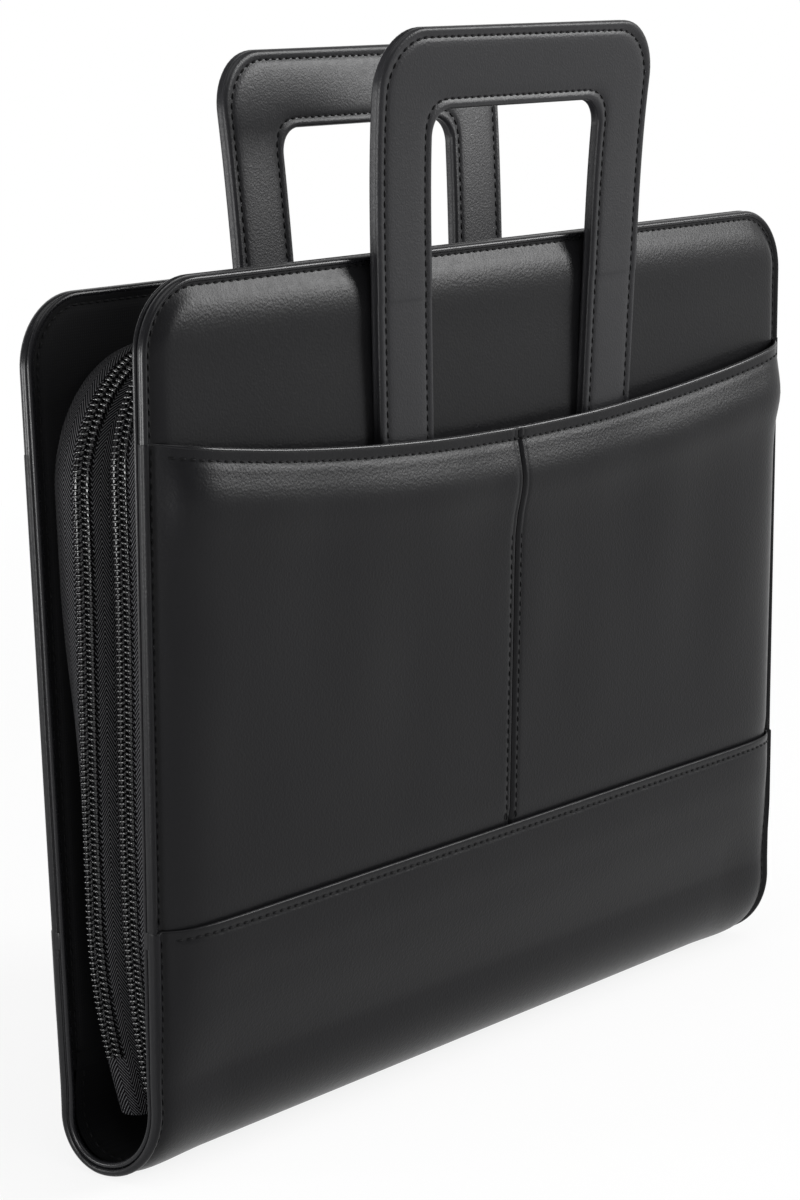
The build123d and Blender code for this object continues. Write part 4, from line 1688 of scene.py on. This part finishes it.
    def sleeve(self) -> None:
        """Sleeve that holds the pad's backing board, sewn to the leaf on three sides."""
        reach, gap, hem = self.sleeve_reach, self.sleeve_gap, self.sleeve_stitch
        end = self.pad_length / 2 + gap
        start = end - reach
        low, high = self.pad_bottom - gap, self.pad_bottom + self.pad_width + gap
        u = np.r_[0.0, 0.3, 0.8, np.linspace(2, reach - 5, 24),
                  reach - np.array([4.0, 3.0, 2.0, 1.0, 0.4, 0.0])]
        v = np.r_[0.0, 0.4, 1.0, 2.0, 3.0, 4.0, 5.0, np.linspace(8, high - low - 8, 24)]
        v = np.r_[v, (high - low) - v[6::-1]][:, None]
        inside = np.minimum(np.minimum(v, (high - low) - v), (reach - u)[None])
        depth = self.sleeve_sheet + self.sleeve_room * self.sleeve_rise.at(inside)
        y = -self.face - depth * self.sleeve_edge.at(np.minimum(inside, self.sleeve_edge.run))
        front = spread(start + u[None], y, low + v)
        behind = spread(start + u[None], np.minimum(y + self.sleeve_sheet, -self.face), low + v)
        grid = np.concatenate([front, behind[:, ::-1]], 1).transpose(1, 0, 2)
        piece = Shape().grid(grid, ring_rows=True, cap_columns=True).dress(
            "sleeve_cloth", LINING, "spine", ["pad_sleeve"])
        thread, t = Shape(), np.linspace(0, 1, 40)
        row = [(start + 1, low + hem), (end - hem, low + hem), (end - hem, high - hem),
               (start + 1, high - hem)]
        for (xa, za), (xb, zb) in zip(row[:-1], row[1:]):
            line = spread(xa + t * (xb - xa), -self.face - self.sleeve_stitch_level,
                          za + t * (zb - za))
            STITCH.sew(thread, line, np.broadcast_to([0.0, -1.0, 0.0], line.shape))
        thread.dress("sleeve_stitches", THREAD, "spine")

    def pen_loop(self) -> None:
        """Loop of woven elastic, sewn down along its base."""
        turn = np.linspace(0, 2 * math.pi, 48, endpoint=False)[:, None]
        half = self.loop_length / 2
        # Outline across the band: place along it and thickness.
        section = np.array([
            [-half, 0.15], [-half + 0.2, 0.6], [-half + 0.8, 0.72], [0, 0.74], [half - 0.8, 0.72],
            [half - 0.2, 0.6], [half, 0.15], [half - 0.2, 0.0], [0, 0.0], [-half + 0.2, 0.0]])
        x, thick = self.loop_x + section[None, :, 0], section[None, :, 1]
        radius = self.loop_radius + thick
        shape = Shape().grid(spread(x, self.loop_y + radius * np.cos(turn),
                                    self.loop_z + radius * np.sin(turn)),
                             ring_rows=True, ring_columns=True)
        z = self.loop_z + np.linspace(-self.loop_base, self.loop_base, 12)[:, None]
        shape.grid(spread(x, -self.face - thick, z), ring_columns=True, fill_rows=(0, -1))
        piece = shape.dress("pen_loop_band", ELASTIC, "spine", ["pen_loop"])

    def make(self) -> None:
        """Build and dress the leaf and what it carries."""
        self.linings()
        self.pad()
        self.sleeve()
        self.pen_loop()


@dataclass
class PatchPocket:
    """Inside pocket: a sheet sewn to a cover's lining on three sides, with a folded top edge."""

    section: CaseSection
    name: str
    node: Optional[str]
    centre: float
    bottom: float
    wide: float
    tall: float
    room: float
    sheet: float = 0.8
    lining_depth: float = 5.0
    stitch_inset: float = 1.7
    stitch_end: float = 0.5
    hem: float = 3.2
    hem_end: float = 5.0
    fold_lift: float = 0.25
    hem_groove: Ridge = Ridge(-0.18, 0.7)
    edge: Ease = Ease(-0.14, 0.7)
    rise: Ease = Ease(2.4, 3.4)

    def make(self) -> None:
        """Build, sew and dress the pocket."""
        section, side = self.section, self.section.side
        near = np.array([0.0, 0.3, 0.9, 1.8, 2.6, 4.0])
        u = np.r_[near, np.linspace(6, self.wide - 6, 30), self.wide - near[::-1]][None]
        v = np.r_[near, np.linspace(6, self.tall - 5, 20),
                  self.tall - np.array([4.0, 3.2, 2.4, 1.4, 0.6, 0.2])][:, None]
        inside = np.minimum(np.minimum(u, self.wide - u), v)
        deep = self.sheet * self.edge.at(inside) + self.room * self.rise.at(inside)
        deep = deep + self.hem_groove.at(v - (self.tall - self.hem))
        left = self.centre - self.wide / 2
        x, w = np.broadcast_arrays(left + u, self.bottom + v)
        front = section.cover(x, w, -self.lining_depth - deep)
        behind = section.cover(x, w, -self.lining_depth - np.maximum(deep - self.sheet, 0.0))
        middle = -self.lining_depth - deep[-1] + self.sheet / 2
        fold = section.cover(x[-1], w[-1] + self.fold_lift, middle)[None]
        shape = Shape().grid(np.concatenate([front, fold, behind[::-1]]), ring_rows=True,
                             cap_columns=True)
        piece = shape.dress(self.name, LINING, side.node("cover"),
                            [self.node] if self.node else [])
        side.node("inside_lining")
        thread, t = Shape(), np.linspace(0, 1, 40)
        left, right = left + self.stitch_inset, left + self.wide - self.stitch_inset
        low, high = self.bottom + self.stitch_inset, self.bottom + self.tall - self.stitch_end
        corners = [(left, high), (left, low), (right, low), (right, high)]
        rows = [(a, b, self.sheet) for a, b in zip(corners[:-1], corners[1:])]
        hem = high + self.stitch_end - self.hem
        rows.append(((left + self.hem_end, hem), (right - self.hem_end, hem),
                     self.sheet + self.room + self.hem_groove.height))
        for (xa, wa), (xb, wb), level in rows:
            section.sew(thread, xa + t * (xb - xa), section.hinge + (wa + t * (wb - wa)),
                        -self.lining_depth - level, -1.0)
        thread.dress(self.name + "_stitches", THREAD, side.node("cover"))


@dataclass
class Studio:
    """White table, soft lamps and the camera at the photograph's angle."""

    floor_level: float = -0.85
    sweep: float = 4.0
    sweep_front: float = 12.0
    sweep_half: float = 9.0
    sweep_height: float = 5.0
    room_light: float = 0.3
    shadow_near: float = 0.3
    shadow_far: float = 1.3
    shadow_share: float = 0.86
    focal_pixels: float = 3210.47
    image_height: float = 1200.0
    sensor: float = 36.0
    eye: tuple[float, float, float] = (-850.17, -698.42, 368.96)
    yaw: float = math.radians(49.8276)
    pitch: float = math.radians(10.7394)
    roll: float = math.radians(-1.2034)

    def camera(self) -> None:
        """Set the camera."""
        sin, cos = math.sin, math.cos
        ahead = np.array([sin(self.yaw) * cos(self.pitch), cos(self.yaw) * cos(self.pitch),
                          -sin(self.pitch)])
        level = np.array([cos(self.yaw), -sin(self.yaw), 0.0])
        upright = np.cross(level, ahead)
        right = cos(self.roll) * level + sin(self.roll) * upright
        up = np.cross(right, ahead)
        data = bpy.data.cameras.new("camera")
        data.sensor_fit = "VERTICAL"
        data.sensor_height = self.sensor
        data.lens = self.focal_pixels * self.sensor / self.image_height
        data.clip_start = 0.01
        camera = bpy.data.objects.new("camera", data)
        turn = Matrix((right, up, -ahead)).transposed().to_4x4()
        camera.matrix_world = Matrix.Translation([v * MM for v in self.eye]) @ turn
        bpy.context.scene.collection.objects.link(camera)
        bpy.context.scene.camera = camera

    def seen(self, tree: Tree) -> Socket:
        """Tell which rays look at the surroundings, straight or in a gloss.

        Args:
            tree: Node tree of the surroundings.

        Returns:
            Socket that is one for such rays.
        """
        rays = add_node(tree, "ShaderNodeLightPath").outputs
        first = compute(tree, "MAXIMUM", rays["Is Camera Ray"], rays["Is Glossy Ray"])
        return compute(tree, "MAXIMUM", first, rays["Is Transmission Ray"])

    def surroundings(self) -> None:
        """White paper sweep that keeps a soft shadow, and a white room that lights gently."""
        world = bpy.data.worlds.new("white_room")
        bpy.context.scene.world = world
        tree = blank_tree(world)
        sky = add_node(tree, "ShaderNodeBackground",
                       {"Color": linear("#ffffff"), "Strength": self.room_light})
        add_node(tree, "ShaderNodeOutputWorld", {"Surface": sky.outputs[0]})
        white = bpy.data.materials.new("White_table")
        tree = blank_tree(white)
        matt = add_node(tree, "ShaderNodeBsdfDiffuse", {"Color": linear("#f4f4f4")})
        glow = add_node(tree, "ShaderNodeEmission", {"Color": linear("#ffffff"), "Strength": 1.0})
        away = add_node(tree, "ShaderNodeVectorMath", {0: piece_place(tree)}, operation="LENGTH")
        # The paper sweep is lit to pure white away from the case; under it the shadow stays.
        lit = add_node(tree, "ShaderNodeMapRange", {
            "Value": away.outputs["Value"], "From Min": self.shadow_near,
            "From Max": self.shadow_far, "To Min": self.shadow_share, "To Max": 1.0})
        share = compute(tree, "MULTIPLY", self.seen(tree), lit.outputs["Result"])
        mix = add_node(tree, "ShaderNodeMixShader",
                       {0: share, 1: matt.outputs[0], 2: glow.outputs[0]})
        add_node(tree, "ShaderNodeOutputMaterial", {"Surface": mix.outputs[0]})
        turn = np.linspace(0, QUARTER_TURN, 12)
        ahead = np.array([math.sin(self.yaw), math.cos(self.yaw)])
        across = np.array([ahead[1], -ahead[0]])
        run = np.r_[-self.sweep_front, self.sweep - 1 + np.sin(turn), self.sweep]
        rise = np.r_[0.0, 1 - np.cos(turn), self.sweep_height]
        sides = np.array([-self.sweep_half, self.sweep_half])[None, :, None]
        flat = run[:, None, None] * ahead + sides * across
        level = np.broadcast_to(rise[:, None, None] + self.floor_level * MM, flat.shape[:2] + (1,))
        table = Shape().grid(np.concatenate([flat, level], -1) / MM).build("paper_sweep", 80.0)
        table.data.materials.append(white)

    def lamp(self, name: str, place: tuple[float, float, float], target: tuple[float, float, float],
             size: tuple[float, float], power: float) -> None:
        """Add one soft box.

        Args:
            name: Name of the lamp.
            place: Where it hangs, in metres.
            target: What it points at, in metres.
            size: Width and height of the soft box, in metres.
            power: Power in watts.
        """
        data = bpy.data.lights.new(name, "AREA")
        data.shape = "RECTANGLE"
        data.size, data.size_y = size
        data.energy = power
        lamp = bpy.data.objects.new(name, data)
        back = unit(np.array(place) - np.array(target))
        side = unit(np.cross([0.0, 0.3, 1.0], back))
        turn = Matrix((side, np.cross(back, side), back)).transposed().to_4x4()
        lamp.matrix_world = Matrix.Translation(place) @ turn
        bpy.context.scene.collection.objects.link(lamp)

    def lamps(self) -> None:
        """Weak overhead soft box, two low ones at the left end and a strong one at the right."""
        self.lamp("overhead", (-0.2, -0.5, 1.6), (0.0, 0.0, 0.15), (1.2, 1.2), 10.0)
        self.lamp("left", (-1.25, 0.0, 0.16), (0.0, 0.0, 0.2), (0.4, 0.3), 10.0)
        self.lamp("behind_left", (-1.1, 0.75, 0.16), (0.0, 0.0, 0.2), (0.4, 0.3), 7.0)
        self.lamp("right", (1.5, -1.3, 0.93), (0.0, 0.0, 0.2), (0.6, 1.0), 44.0)

    def make(self) -> None:
        """Build the studio and set the view."""
        self.camera()
        self.surroundings()
        self.lamps()
        bpy.context.scene.view_settings.view_transform = "Standard"


def main() -> None:
    """Build every sub-assembly in order, with each dressed piece's face count logged."""
    logging.basicConfig(level=logging.INFO, format="%(message)s")
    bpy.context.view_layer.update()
    front, back = CaseSection(Side.FRONT), CaseSection(Side.BACK)
    for section in (front, back):
        cover = Cover(section)
        cover.make()
        OutsidePocket(section, cover).make()
        Handle(section).make()
        ZipRun(section).make()
    CentreLeaf().make()
    for pocket in (
            (front, "document_pocket_sheet", "front_document_pocket", 0.0, 24.0, 270.0, 150.0, 1.2),
            (front, "card_pocket_left", "front_card_pockets", -60.0, 178.0, 100.0, 48.0, 1.0),
            (front, "card_pocket_right", None, 60.0, 178.0, 100.0, 48.0, 1.0),
            (back, "file_pocket_sheet", "back_file_pocket", 0.0, 24.0, 290.0, 170.0, 2.0)):
        PatchPocket(*pocket).make()
    Studio().make()


if __name__ == "__main__":
    main()
